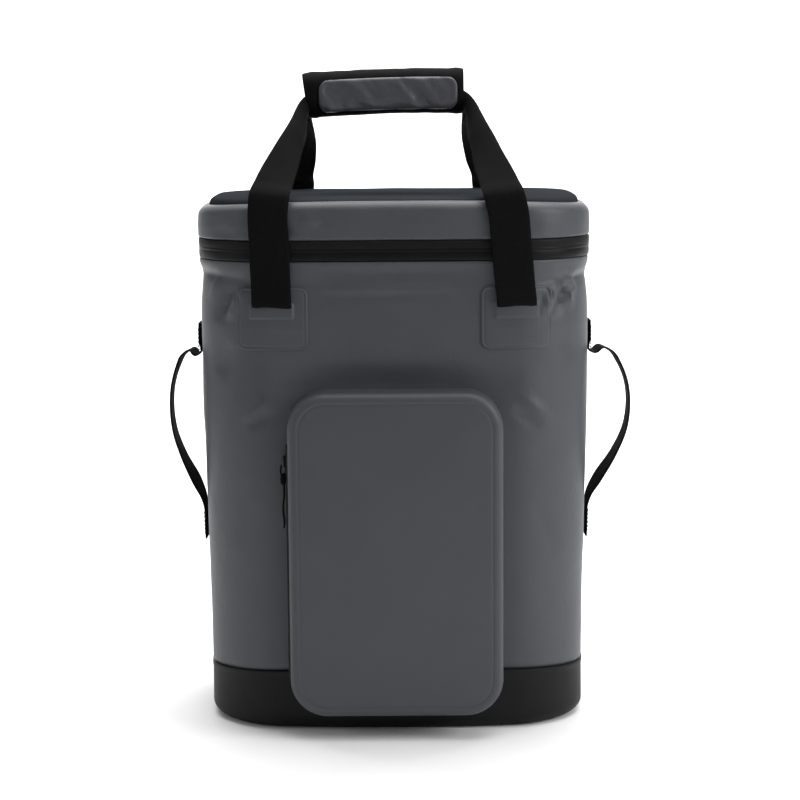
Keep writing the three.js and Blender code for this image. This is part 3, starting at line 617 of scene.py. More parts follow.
@dataclass
class Shape:
    """A mesh in the making, in millimetres."""

    points: list[np.ndarray] = field(default_factory=list)
    faces: list[tuple[int, ...]] = field(default_factory=list)
    weave: list[np.ndarray] = field(default_factory=list)
    count: int = 0

    def add_points(self, points: np.ndarray, weave: Optional[np.ndarray] = None) -> int:
        """Takes points in.

        Args:
            points: the points, whose last axis has three numbers.
            weave: for each, how far it is across and along its webbing.

        Returns:
            The number of the first one.
        """
        flat = points.reshape(-1, 3)
        spots = np.zeros((len(flat), 2)) if weave is None else weave.reshape(-1, 2)
        first = self.count
        self.points.append(flat)
        self.weave.append(spots)
        self.count += len(flat)
        return first

    def add_grid(
        self, grid: np.ndarray, closed: bool = False, flip: bool = False, weave: Optional[np.ndarray] = None
    ) -> "Shape":
        """Takes in a sheet of points and the faces between them.

        Args:
            grid: rows of points.
            closed: whether each row closes on itself.
            flip: whether the faces look the other way.
            weave: for each point, how far it is across and along its webbing.

        Returns:
            This shape.
        """
        rows, columns = grid.shape[:2]
        first = self.add_points(grid, weave)
        for row in range(rows - 1):
            for column in range(columns if closed else columns - 1):
                after = (column + 1) % columns
                a, b = first + row * columns + column, first + row * columns + after
                face = (a, b, b + columns, a + columns)
                self.faces.append(face[::-1] if flip else face)
        return self

    def add_tube(self, rings: np.ndarray, flip: bool = False, weave: Optional[np.ndarray] = None) -> "Shape":
        """Takes in a skin through closed rings, with a face over each end.

        Args:
            rings: rows of points, each a closed ring.
            flip: whether the faces look the other way.
            weave: for each point, how far it is across and along its webbing.

        Returns:
            This shape.
        """
        rows, columns = rings.shape[:2]
        first = self.count
        self.add_grid(rings, True, flip, weave)
        start = tuple(range(first, first + columns))
        end = tuple(range(first + (rows - 1) * columns, first + rows * columns))
        self.faces.append(start if flip else start[::-1])
        self.faces.append(end[::-1] if flip else end)
        return self

    def make(self, name: str, material: bpy.types.Material, sharp: float = 40.0) -> bpy.types.Object:
        """Makes the Blender object.

        Args:
            name: the object's name.
            material: its material.
            sharp: the angle in degrees above which an edge is sharp.

        Returns:
            The object, linked to the scene.
        """
        mesh = bpy.data.meshes.new(name)
        mesh.from_pydata((np.vstack(self.points) * MM).tolist(), [], self.faces)
        spots = np.vstack(self.weave)
        corners = np.zeros(len(mesh.loops), dtype=int)
        mesh.loops.foreach_get("vertex_index", corners)
        layer = mesh.uv_layers.new(name=WEAVE_MAP)
        layer.data.foreach_set("uv", spots[corners].ravel())
        mesh.shade_smooth()
        mesh.set_sharp_from_angle(angle=math.radians(sharp))
        mesh.materials.append(material)
        made = bpy.data.objects.new(name, mesh)
        bpy.context.scene.collection.objects.link(made)
        return made


def rounded_outline(half_width: float, half_height: float, radius: float, steps: Sequence[int]) -> np.ndarray:
    """A rounded rectangle's points, counterclockwise, from its upper left.

    Args:
        half_width: half its width.
        half_height: half its height.
        radius: its corner radius.
        steps: how many steps there are in a corner, a left or right side, the bottom and the top.

    Returns:
        The points, two numbers each.
    """
    corner, side, low, high = steps
    centres = ((-1, 1, 90, side), (-1, -1, 180, low), (1, -1, 270, side), (1, 1, 0, high))
    arcs = []
    for x, y, start, _ in centres:
        angles = np.radians(start + np.linspace(0, 90, corner + 1))
        middle = np.array([x * (half_width - radius), y * (half_height - radius)])
        arcs.append(middle + radius * np.stack([np.cos(angles), np.sin(angles)], axis=1))
    parts = []
    for index, (_, _, _, then) in enumerate(centres):
        after = arcs[(index + 1) % len(arcs)][0]
        shares = np.linspace(0, 1, then + 1)[1:-1, None]
        parts += [arcs[index], arcs[index][-1] * (1 - shares) + after * shares]
    return np.vstack(parts)


@dataclass(frozen=True)
class Fold:
    """A ridge or a dent along a line on the bag, unrolled round it from the middle of its front."""

    start: Pair
    end: Pair
    width: float
    lift: float
    bend: float = 0.0

    def at(self, around: np.ndarray, height: np.ndarray) -> np.ndarray:
        """How far the fold lifts the cloth.

        Args:
            around: distances round the bag.
            height: heights, as many.

        Returns:
            The lifts in millimetres.
        """
        begin, finish = np.array(self.start), np.array(self.end)
        length = np.linalg.norm(finish - begin)
        way = (finish - begin) / length
        to_x, to_y = around - begin[0], height - begin[1]
        share = (to_x * way[0] + to_y * way[1]) / length
        bow = self.bend * (1 - np.clip(2 * share - 1, -1, 1) ** 2)
        off = to_x * -way[1] + to_y * way[0] - bow
        past = (np.clip(share, 0, 1) - share) * length
        taper = np.clip(4 * share * (1 - share), 0, 1)
        return self.lift * taper * np.exp(-(off**2 + past**2) / self.width**2)


@dataclass(frozen=True)
class BagForm:
    """The bag's outer form, which all its pieces lie on.

    A row of the table is a height, half width, half depth and corner radius as shares, and how far
    the front, the sides and the rear fall back at their ends.
    """

    height: float = 432.0
    width: float = 320.0
    depth: float = 208.0
    corner: float = 60.0
    table: tuple[tuple[float, ...], ...] = (
        (0.0, 0.978, 0.985, 0.9, 0.13, 0.05, 0.02),
        (0.117, 0.976, 0.99, 0.9, 0.13, 0.05, 0.02),
        (0.21, 0.978, 1.0, 0.92, 0.12, 0.055, 0.02),
        (0.31, 0.984, 1.005, 0.93, 0.11, 0.06, 0.02),
        (0.44, 0.991, 1.01, 0.94, 0.1, 0.063, 0.02),
        (0.58, 0.999, 1.01, 0.95, 0.09, 0.063, 0.02),
        (0.69, 1.0, 1.0, 0.96, 0.08, 0.06, 0.02),
        (0.765, 0.999, 1.008, 0.97, 0.07, 0.055, 0.02),
        (0.81, 0.994, 1.0, 0.98, 0.06, 0.05, 0.02),
        (0.846, 0.984, 0.985, 0.98, 0.045, 0.045, 0.02),
        (0.872, 0.994, 0.993, 1.0, 0.04, 0.04, 0.02),
        (0.888, 1.0, 1.0, 1.0, 0.038, 0.038, 0.02),
        (0.955, 1.006, 1.006, 1.0, 0.038, 0.038, 0.02),
        (1.0, 1.0, 1.0, 1.0, 0.036, 0.036, 0.02),
    )
    steps: tuple[int, ...] = (20, 36, 96, 44)
    folds: tuple[Fold, ...] = ()

    def ring(self, height: float, offset: float = 0.0) -> np.ndarray:
        """The outline at a height.

        Args:
            height: the height.
            offset: how far outside the bag it lies.

        Returns:
            Points in space.
        """
        rows = np.array(self.table)
        share = np.clip(height / self.height, 0, 1)
        wide, deep, corner, front, side, rear = (
            np.interp(share, rows[:, 0], rows[:, column]) for column in range(1, 7))
        half_width = self.width / 2 * wide + offset
        half_depth = self.depth / 2 * deep + offset
        flat = rounded_outline(half_width, half_depth, self.corner * corner + offset, self.steps)
        x, y = flat[:, 0], flat[:, 1]
        bow = np.where(y < 0, front, rear)
        shaped = x * (1 - side * (y / half_depth) ** 2), y * (1 - bow * (x / half_width) ** 2)
        return np.stack([*shaped, np.full(len(x), height)], axis=1)

    @staticmethod
    def around(ring: np.ndarray) -> np.ndarray:
        """How far each point of a ring is round the bag from the middle of its front.

        Args:
            ring: the ring's points.

        Returns:
            Distances, negative on the left.
        """
        front = np.where(ring[:, 1] < 0)[0]
        middle = front[np.argmin(np.abs(ring[front, 0]))]
        turned = np.roll(ring[:, :2], -middle, axis=0)
        far = distances(turned)
        total = far[-1] + np.linalg.norm(turned[0] - turned[-1])
        signed = np.where(far > total / 2, far - total, far)
        return np.roll(signed, middle)

    def lift(self, around: np.ndarray, height: np.ndarray) -> np.ndarray:
        """How far the folds lift the cloth at places on the bag."""
        return sum((fold.at(around, height) for fold in self.folds), np.zeros(np.shape(around)))

    def skin(self, height: float, offset: float = 0.0, folded: bool = True) -> np.ndarray:
        """The outline at a height with the cloth's folds in it.

        Args:
            height: the height.
            offset: how far outside the bag it lies.
            folded: whether it follows the folds.

        Returns:
            Points in space.
        """
        ring = self.ring(height, offset)
        if not folded:
            return ring
        along = np.roll(ring, -1, axis=0) - np.roll(ring, 1, axis=0)
        outward = unit(np.stack([along[:, 1], -along[:, 0], np.zeros(len(ring))], axis=1))
        return ring + outward * self.lift(self.around(ring), np.full(len(ring), height))[:, None]

    def face(
        self, across: np.ndarray, heights: np.ndarray, lift: np.ndarray | float, end: End
    ) -> np.ndarray:
        """Points on the bag's front or rear.

        Args:
            across: distances from the middle, rows by columns.
            heights: heights, as many.
            lift: how far above the cloth each point lies.
            end: front or rear.

        Returns:
            Points in space, rows by columns.
        """
        levels = np.unique(np.round(heights, 3))
        depth = np.zeros(across.shape)
        for level in levels:
            ring = self.skin(level)
            half = sorted_by(ring[ring[:, 1] * end.value > 0], 0)
            here = np.isclose(heights, level, atol=1e-3)
            depth[here] = np.interp(across[here], half[:, 0], half[:, 1])
        grid = np.stack([across, depth, heights], axis=-1)
        return grid + outward_of(grid, end) * np.asarray(lift)[..., None]

    def cover(
        self, across: np.ndarray, heights: np.ndarray, lift: np.ndarray | float, end: End
    ) -> Shape:
        """A sheet on the bag's front or rear, from the same numbers as its face."""
        return Shape().add_grid(self.face(across, heights, lift, end), flip=end is End.REAR)

    def side_reach(self, along: float, height: float, offset: float = 0.0) -> float:
        """How far the bag's side stands out.

        Args:
            along: the distance from the middle, towards the rear.
            height: the height.
            offset: how far outside the bag it is.

        Returns:
            The distance from the middle.
        """
        ring = self.ring(height, offset)
        half = sorted_by(ring[ring[:, 0] > 0], 1)
        return float(np.interp(along, half[:, 1], half[:, 0]))

    def depth_at(self, across: float, height: float, end: End) -> float:
        """How far the front or rear face is from the middle."""
        spot = self.face(np.array([[across]]), np.array([[height]]), 0.0, end)
        return float(abs(spot[0, 0, 1]))


def outward_of(grid: np.ndarray, end: End) -> np.ndarray:
    """The outward directions of a sheet of points that faces the front or the rear.

    Args:
        grid: rows of points.
        end: where it faces.

    Returns:
        A direction for each point.
    """
    if min(grid.shape[:2]) < 2:
        return np.broadcast_to(np.array([0.0, float(end.value), 0.0]), grid.shape)
    cross = unit(np.cross(np.gradient(grid, axis=1), np.gradient(grid, axis=0)))
    return cross * np.sign(cross[..., 1:2] * end.value + 1e-9)


@dataclass
class Stations:
    """Where a webbing runs: its middle, its direction across, and how much its edges curl."""

    middle: np.ndarray
    across: np.ndarray
    curl: np.ndarray

    @classmethod
    def smooth(cls, rows: Sequence[Sequence[float]], steps: int) -> "Stations":
        """Stations on a smooth curve.

        Args:
            rows: seven numbers each: the middle, the direction across and the curl in radians.
            steps: how many stations come out.

        Returns:
            The stations.
        """
        fine = smooth_path(np.array(rows, dtype=float), steps)
        return cls(fine[:, :3], fine[:, 3:6], fine[:, 6])

    def frames(self) -> tuple[np.ndarray, np.ndarray, np.ndarray]:
        """The direction across, the normal and the distance along at each station.

        Returns:
            Directions across, normals and distances.
        """
        tangent = unit(np.gradient(self.middle, axis=0))
        across = unit(self.across - tangent * np.sum(self.across * tangent, axis=1)[:, None])
        return across, np.cross(tangent, across), distances(self.middle)

    def band(
        self, width: np.ndarray | float, thickness: float, columns: int = 16
    ) -> tuple[np.ndarray, np.ndarray]:
        """A flat band with round edges along the stations, which may curl along its normal.

        Args:
            width: its width, one number or one for each station.
            thickness: its thickness.
            columns: how many steps there are across it.

        Returns:
            Closed rings of points, and their weave places.
        """
        across, normal, along = self.frames()
        wide = np.broadcast_to(np.asarray(width, dtype=float), (len(along),))[:, None]
        share = np.sin(np.linspace(-QUARTER_TURN, QUARTER_TURN, columns + 1)) / 2
        half = thickness / 2 * np.sqrt(np.maximum(1 - np.abs(2 * share) ** 8, 0.0))
        shares = np.concatenate([share, share[::-1][1:-1]])[None, :]
        outs = np.concatenate([-half, half[::-1][1:-1]])[None, :]
        curl = np.maximum(self.curl, 1e-4)[:, None]
        turn = shares * curl
        radius = wide / curl
        flat = radius * np.sin(turn) - outs * np.sin(turn)
        back = radius * (1 - np.cos(turn)) + outs * np.cos(turn)
        rings = (
            self.middle[:, None, :]
            + across[:, None, :] * flat[..., None]
            + normal[:, None, :] * back[..., None]
        )
        weave = np.stack([shares * wide, np.broadcast_to(along[:, None], turn.shape)], axis=-1)
        return rings, weave


def cord_tube(
    path: np.ndarray, radius: np.ndarray | float, sides: int = 8, squash: float = 1.0
) -> np.ndarray:
    """Rings of a round tube along a path.

    Args:
        path: the path's points.
        radius: its radius, one number or one for each point.
        sides: how many sides it has.
        squash: how flat it is, 1 for round.

    Returns:
        The rings.
    """
    tangent = unit(np.gradient(path, axis=0))
    skewed_guide = np.array([0.31, 0.87, 0.38])
    across = unit(np.cross(tangent, skewed_guide))
    up = np.cross(tangent, across)
    angles = np.linspace(0, FULL_TURN, sides, endpoint=False)[None, :, None]
    size = np.broadcast_to(np.asarray(radius, dtype=float), (len(path),))[:, None, None]
    around = np.cos(angles) * across[:, None] + squash * np.sin(angles) * up[:, None]
    return path[:, None, :] + size * around


@dataclass(frozen=True)
class Seam:
    """A run of stitches: short fat threads along a line."""

    pitch: float = 3.4
    length: float = 2.5
    radius: float = 0.38
    end_share: float = 0.45

    def sew(self, shape: Shape, path: np.ndarray) -> None:
        """Adds the stitches to a shape.

        Args:
            shape: what takes the stitches.
            path: the line, as points just above the cloth.
        """
        along = distances(path)
        for start in np.arange(0.0, along[-1] - self.length, self.pitch):
            at = start + np.linspace(0, self.length, 4)
            points = np.stack([np.interp(at, along, path[:, axis]) for axis in range(3)], axis=1)
            thin = self.radius * np.array([self.end_share, 1.0, 1.0, self.end_share])
            shape.add_tube(cord_tube(points, thin, 6))


def settle(
    made: bpy.types.Object, replaced: Sequence[str] = ()
) -> bpy.types.Object:
    """Gives a piece its place in the frame.

    Args:
        made: the piece.
        replaced: the frame's nodes that it stands for.

    Returns:
        The piece.
    """
    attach(made, BODY)
    if replaced:
        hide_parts(*replaced)
    log.info("%s: %d faces", made.name, len(made.data.polygons))
    return made


# The bag


def inside_depth(across: np.ndarray, up: np.ndarray, half: Pair, corner: float) -> np.ndarray:
    """How far inside a rounded rectangle places are.

    Args:
        across: distances from its middle.
        up: heights from its middle, as many.
        half: half its width and half its height.
        corner: its corner radius.

    Returns:
        Distances from its edge, positive inside.
    """
    out_x, out_y = np.abs(across) - half[0] + corner, np.abs(up) - half[1] + corner
    beyond = np.hypot(np.maximum(out_x, 0), np.maximum(out_y, 0))
    return corner - beyond - np.minimum(np.maximum(out_x, out_y), 0)


def plate(
    width: float, height: float, corner: float, step: float
) -> tuple[np.ndarray, np.ndarray, np.ndarray]:
    """A sheet of places over a rounded rectangle, denser at its edges.

    Args:
        width: its width.
        height: its height.
        corner: its corner radius.
        step: the distance between places.

    Returns:
        Distances across, heights and distances from the edge, rows by columns.
    """
    columns, rows = max(8, round(width / step)), max(8, round(height / step))

    def spread(count: int) -> np.ndarray:
        """Shares from -1 to 1, denser at the ends."""
        even = np.linspace(-1, 1, count + 1)
        return 0.75 * even + 0.25 * np.sin(even * QUARTER_TURN)

    up = spread(rows)[:, None] * height / 2
    into = np.clip(np.abs(up) - height / 2 + corner, 0, corner)
    half = width / 2 - corner + np.sqrt(np.maximum(corner**2 - into**2, 0))
    across = spread(columns)[None, :] * half
    up = np.broadcast_to(up, across.shape)
    return across, up, inside_depth(across, up, (width / 2, height / 2), corner)


def edge_rise(depth: np.ndarray, radius: float) -> np.ndarray:
    """How far a round edge has risen, as a share, at distances from the edge."""
    return np.sqrt(np.maximum(1 - np.clip(1 - depth / radius, 0, 1) ** 2, 0))


def groove(distance: np.ndarray, width: float) -> np.ndarray:
    """A round groove's depth, as a share, at distances from its middle."""
    return np.exp(-((distance / width) ** 2))


@dataclass
class Bag:
    """The foam-walled bag in its boot, with its lid and the zip between them."""

    form: BagForm
    finishes: Finishes
    boot_height: float = 50.7
    boot_thickness: float = 3.0
    boot_edge: float = 13.0
    boot_dip: float = 7.0
    dip_fade: float = 110.0
    band_bottom: float = 383.5
    band_top: float = 400.0
    tape_depth: float = 2.4
    rim_radius: float = 9.0
    rim_drop: float = 1.5
    droop: float = 5.0
    panel_margin: float = 9.0
    panel_thickness: float = 7.0
    panel_round: float = 4.0
    row_step: float = 2.0
    panel_crown: float = 1.2
    hinge_half: float = 80.0
    hinge_margin: float = 3.0

    def build(self) -> None:
        """Builds every piece of the bag."""
        self.body()
        self.boot()
        self.lid()
        self.lid_panel()
        self.zip_band()
        self.hinge()
        self.slider()

    def revolve(self, profile: Sequence[tuple[float, float]], folded: bool = True) -> np.ndarray:
        """Rings round the bag.

        Args:
            profile: heights and offsets.
            folded: whether the rings follow the folds.

        Returns:
            The rings.
        """
        return np.stack([self.form.skin(height, offset, folded) for height, offset in profile])

    def body(self) -> bpy.types.Object:
        """The cloth round the bag between boot and zip."""
        low, high, inset = self.boot_height, self.band_bottom, self.boot_thickness + 0.35
        start, stop = low + 5.0, high - 2.0
        profile = [(low - 14, -inset), (low - 1.5, -inset)]
        profile += [(low + 0.3, -2.2), (low + 1.2, -1.2), (low + 2.8, -0.6)]
        profile += [(height, -0.3 * math.exp(-(height - start) / 40))
                    for height in np.arange(start, stop, self.row_step)]
        profile += [(stop, -0.1), (high - 0.8, -0.5), (high - 0.2, -1.3), (high, -self.tape_depth - 0.2)]
        rings = self.dip(self.revolve(profile))
        return settle(
            Shape().add_tube(self.uneven(rings)).make("bag_skin", self.finishes.cloth),
            ["body_shell"])

    def lowered(self, rings: np.ndarray, amount: np.ndarray, power: int) -> np.ndarray:
        """Rings that run lower towards the left and right.

        Args:
            rings: rings round the bag.
            amount: for each point, how much lower it would be at the bag's full half width.
            power: how late the fall sets in, going outwards.

        Returns:
            The rings.
        """
        out = np.abs(rings[..., 0]) / (self.form.width / 2)
        moved = rings.copy()
        moved[..., 2] -= amount * out**power
        return moved

    def dip(self, rings: np.ndarray) -> np.ndarray:
        """Lets the line between boot and cloth run lower at the left and right."""
        top = self.boot_height
        share = np.interp(rings[..., 2], (0.0, top, top + self.dip_fade), (0.0, 1.0, 0.0))
        return self.lowered(rings, self.boot_dip * share, 4)

    def uneven(self, rings: np.ndarray) -> np.ndarray:
        """Rings with the soft unevenness of cloth over foam.

        Args:
            rings: rings round the bag.

        Returns:
            The rings, each point moved a little.
        """
        outward = unit(rings * np.array([1.0, 1.0, 0.0]))
        soft = Lumps(38.0, 3).at(rings) * 0.5 + Lumps(15.0, 4).at(rings) * 0.16
        return rings + outward * soft[..., None]

    def boot(self) -> bpy.types.Object:
        """The moulded boot: a cup with a round lower edge and a soft lip."""
        edge, wall, top = self.boot_edge, self.boot_thickness, self.boot_height
        profile = [(0.0, -edge - 30.0), (0.0, -edge - 4.0)]
        profile += [(rise, -inset) for rise, inset in quarter(edge, 10)]
        profile += [(height, 0.0) for height in (18.0, 25.0, 32.0, 39.0, 44.0)]
        profile += [(top - 3.6, 0.1), (top - 2.9, 0.35), (top - 1.4, 0.5), (top - 0.5, 0.3), (top, -0.5),
                    (top, -wall + 0.4), (top - 0.6, -wall), (top - 6.0, -wall)]
        rings = self.dip(self.revolve(profile, folded=False))
        return settle(
            Shape().add_tube(rings).make("moulded_boot", self.finishes.boot), ["base_boot"])

    def hang(self, rings: np.ndarray, fixed_above: float) -> np.ndarray:
        """Lets the lid hang at its left and right, the more the higher a point is.

        Args:
            rings: rings round the bag.
            fixed_above: the height above which points stay.

        Returns:
            The rings.
        """
        height = rings[..., 2]
        rise = np.maximum(height - self.band_top, 0) / (self.form.height - self.rim_drop - self.band_top)
        return self.lowered(rings, self.droop * rise * (height <= fixed_above), 3)

    def lid(self) -> bpy.types.Object:
        """The padded lid with its round rim and the recess for its panel."""
        low, top, rim = self.band_top, self.form.height - self.rim_drop, self.rim_radius
        inner = -self.panel_margin - 0.3
        profile = [(low - 0.2, -self.tape_depth - 0.2), (low, -1.4), (low + 0.5, -0.6), (low + 1.6, -0.1)]
        profile += [(height, 0.0) for height in np.arange(low + 3, top - rim, self.row_step)]
        profile += [(top - down, -inset) for inset, down in quarter(rim, 9)]
        profile += [(top - 0.8, inner - 0.3), (top - 2.2, inner - 0.6),
                    (self.form.height - self.panel_thickness, inner - 0.7)]
        rings = self.uneven(self.hang(self.revolve(profile), top + 1.0))
        return settle(
            Shape().add_tube(rings).make("lid_skin", self.finishes.cloth), ["lid_shell"])

    def lid_panel(self) -> bpy.types.Object:
        """The dark padded panel in the lid's top: a soft cushion, crowned, with a rolled edge."""
        top, offset, edge = self.form.height, -self.panel_margin - 0.35, self.panel_round
        bottom = top - self.panel_thickness
        rows = [(bottom, offset), (top - edge - 1.0, offset + 0.3)]
        rows += [(top - down, offset - inset) for inset, down in quarter(edge, 7)]
        rings = [self.form.ring(height, inset) for height, inset in rows]
        rim, middle = rings[-1], np.array([0.0, 0.0, top])
        for share in np.linspace(0.01, 0.995, 30):
            crown = [0, 0, self.panel_crown * (1 - (1 - share) ** 2)]
            rings.append(middle + (rim - middle) * (1 - share) + crown)
        grid = self.hang(np.stack(rings), bottom + 0.1)
        grid[..., 2] += Lumps(30.0, 9).at(grid) * 0.35 * (grid[..., 2] > bottom + 1.0)
        return settle(
            Shape().add_tube(grid).make("lid_top_cloth", self.finishes.lid_top),
            ["lid_top_panel"])

    def band(self, profile: Sequence[tuple[float, float]]) -> Shape:
        """A strip of the zip band round the front and the sides.

        Args:
            profile: heights and offsets of its section, closed.

        Returns:
            The strip.
        """
        rings = self.revolve(profile, folded=False)
        rear = rings[0][:, 1] > 0
        keep = ~(rear & (np.abs(rings[0][:, 0]) < self.hinge_half - 6))
        order = np.argsort(self.form.around(rings[0])[keep])
        return Shape().add_tube(np.transpose(rings[:, keep][:, order], (1, 0, 2)), flip=True)

    def zip_band(self) -> None:
        """The coated zip: two tapes and the closed chain between them."""
        back, top = -self.tape_depth, self.band_top - self.band_bottom - 0.3
        lower = ((0.2, back), (0.2, -0.5), (0.7, -0.1), (1.6, 0.1), (3.5, 0.2), (5.5, 0.12), (6.8, 0.0),
                 (7.15, -0.12), (7.15, back))
        chain = ((7.2, back), (7.2, -0.12), (7.6, 0.0), (8.45, 0.04), (9.3, 0.0), (9.7, -0.12), (9.7, back))
        upper = ((9.75, back), (9.75, -0.12), (10.2, 0.0), (12.0, 0.06), (14.5, 0.0), (15.6, -0.2),
                 (16.0, -0.6), (top, -1.1), (top, back))
        # The upper band takes the lighter copy of the zip's material, as painted highlight.
        zips = (
            ("zip_lower_band", lower, "zip_tape_lower", self.finishes.zip),
            ("zip_coil", chain, "zip_chain", self.finishes.zip),
            ("zip_upper_band", upper, "zip_tape_upper", self.finishes.zip_upper),
        )
        for name, section, node, material in zips:
            profile = [(self.band_bottom + rise, offset) for rise, offset in section]
            settle(self.band(profile).make(name, material, 70.0), [node])

    def hinge(self) -> bpy.types.Object:
        """The cloth hinge at the rear, sewn along both edges."""
        middle = (self.band_bottom + self.band_top) / 2
        height = self.band_top - self.band_bottom + 6.0
        across, up, depth = plate(2 * self.hinge_half, height, 3.0, 1.6)
        lift = 0.2 + 0.9 * edge_rise(depth, 1.2)
        lift -= 0.5 * groove(depth - self.hinge_margin, 0.9)
        shape = self.form.cover(across, up + middle, lift, End.REAR)
        line = np.linspace(4 - self.hinge_half, self.hinge_half - 4, 60)
        for row in (-height / 2 + self.hinge_margin, height / 2 - self.hinge_margin):
            heights = np.stack([line * 0 + row, line * 0 + row + 0.01]) + middle
            Seam().sew(shape, self.form.face(np.stack([line, line]), heights, 1.0, End.REAR)[0])
        return settle(shape.make("lid_hinge_cloth", self.finishes.cloth), ["lid_hinge"])

    def slider(self) -> None:
        """The lid zip's slider and its pull, parked at the rear of the right side."""
        low, high = (np.array(corner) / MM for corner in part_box("lid_zip_slider"))
        body = Shape()
        block_between(body, low + [0.2, 0, 0], high - [1.2, 0, 0], 1.4)
        block_between(body, low + [3.0, 4.5, 3.2], high + [0.4, -4.5, -3.2], 1.0)
        settle(body.make("lid_slider_body", self.finishes.moulded), ["lid_zip_slider"])
        low, high = (np.array(corner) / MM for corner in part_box("lid_zip_pull"))
        pull = Shape()
        block_between(pull, low, high + [0.2, 0, 0], 0.9)
        middle = (low + high) / 2
        for rise in np.linspace(-8, 4, 5):
            spot = np.array([high[0] + 0.1, middle[1], middle[2] + rise])
            block_between(pull, spot - [0.5, 3.0, 0.6], spot + [0.5, 3.0, 0.6], 0.4)
        settle(pull.make("lid_pull_tab", self.finishes.moulded), ["lid_zip_pull"])


def block_between(shape: Shape, low: np.ndarray, high: np.ndarray, radius: float) -> None:
    """Adds a block with round edges.

    Args:
        shape: what takes the block.
        low: its lowest corner.
        high: its highest corner.
        radius: how round its edges are.
    """
    middle, half = (low + high) / 2, (high - low) / 2
    radius = min(radius, *(half * 0.95))
    rise = [(up - half[2], inset) for up, inset in quarter(radius, 4)]
    rings = []
    for height, inset in rise + [(-height, inset) for height, inset in reversed(rise)]:
        flat = rounded_outline(half[0] - inset, half[1] - inset, max(radius - inset, 0.05), (4, 1, 1, 1))
        rings.append(np.column_stack([flat, np.full(len(flat), height)]) + middle)
    shape.add_tube(np.stack(rings))


# The front pocket


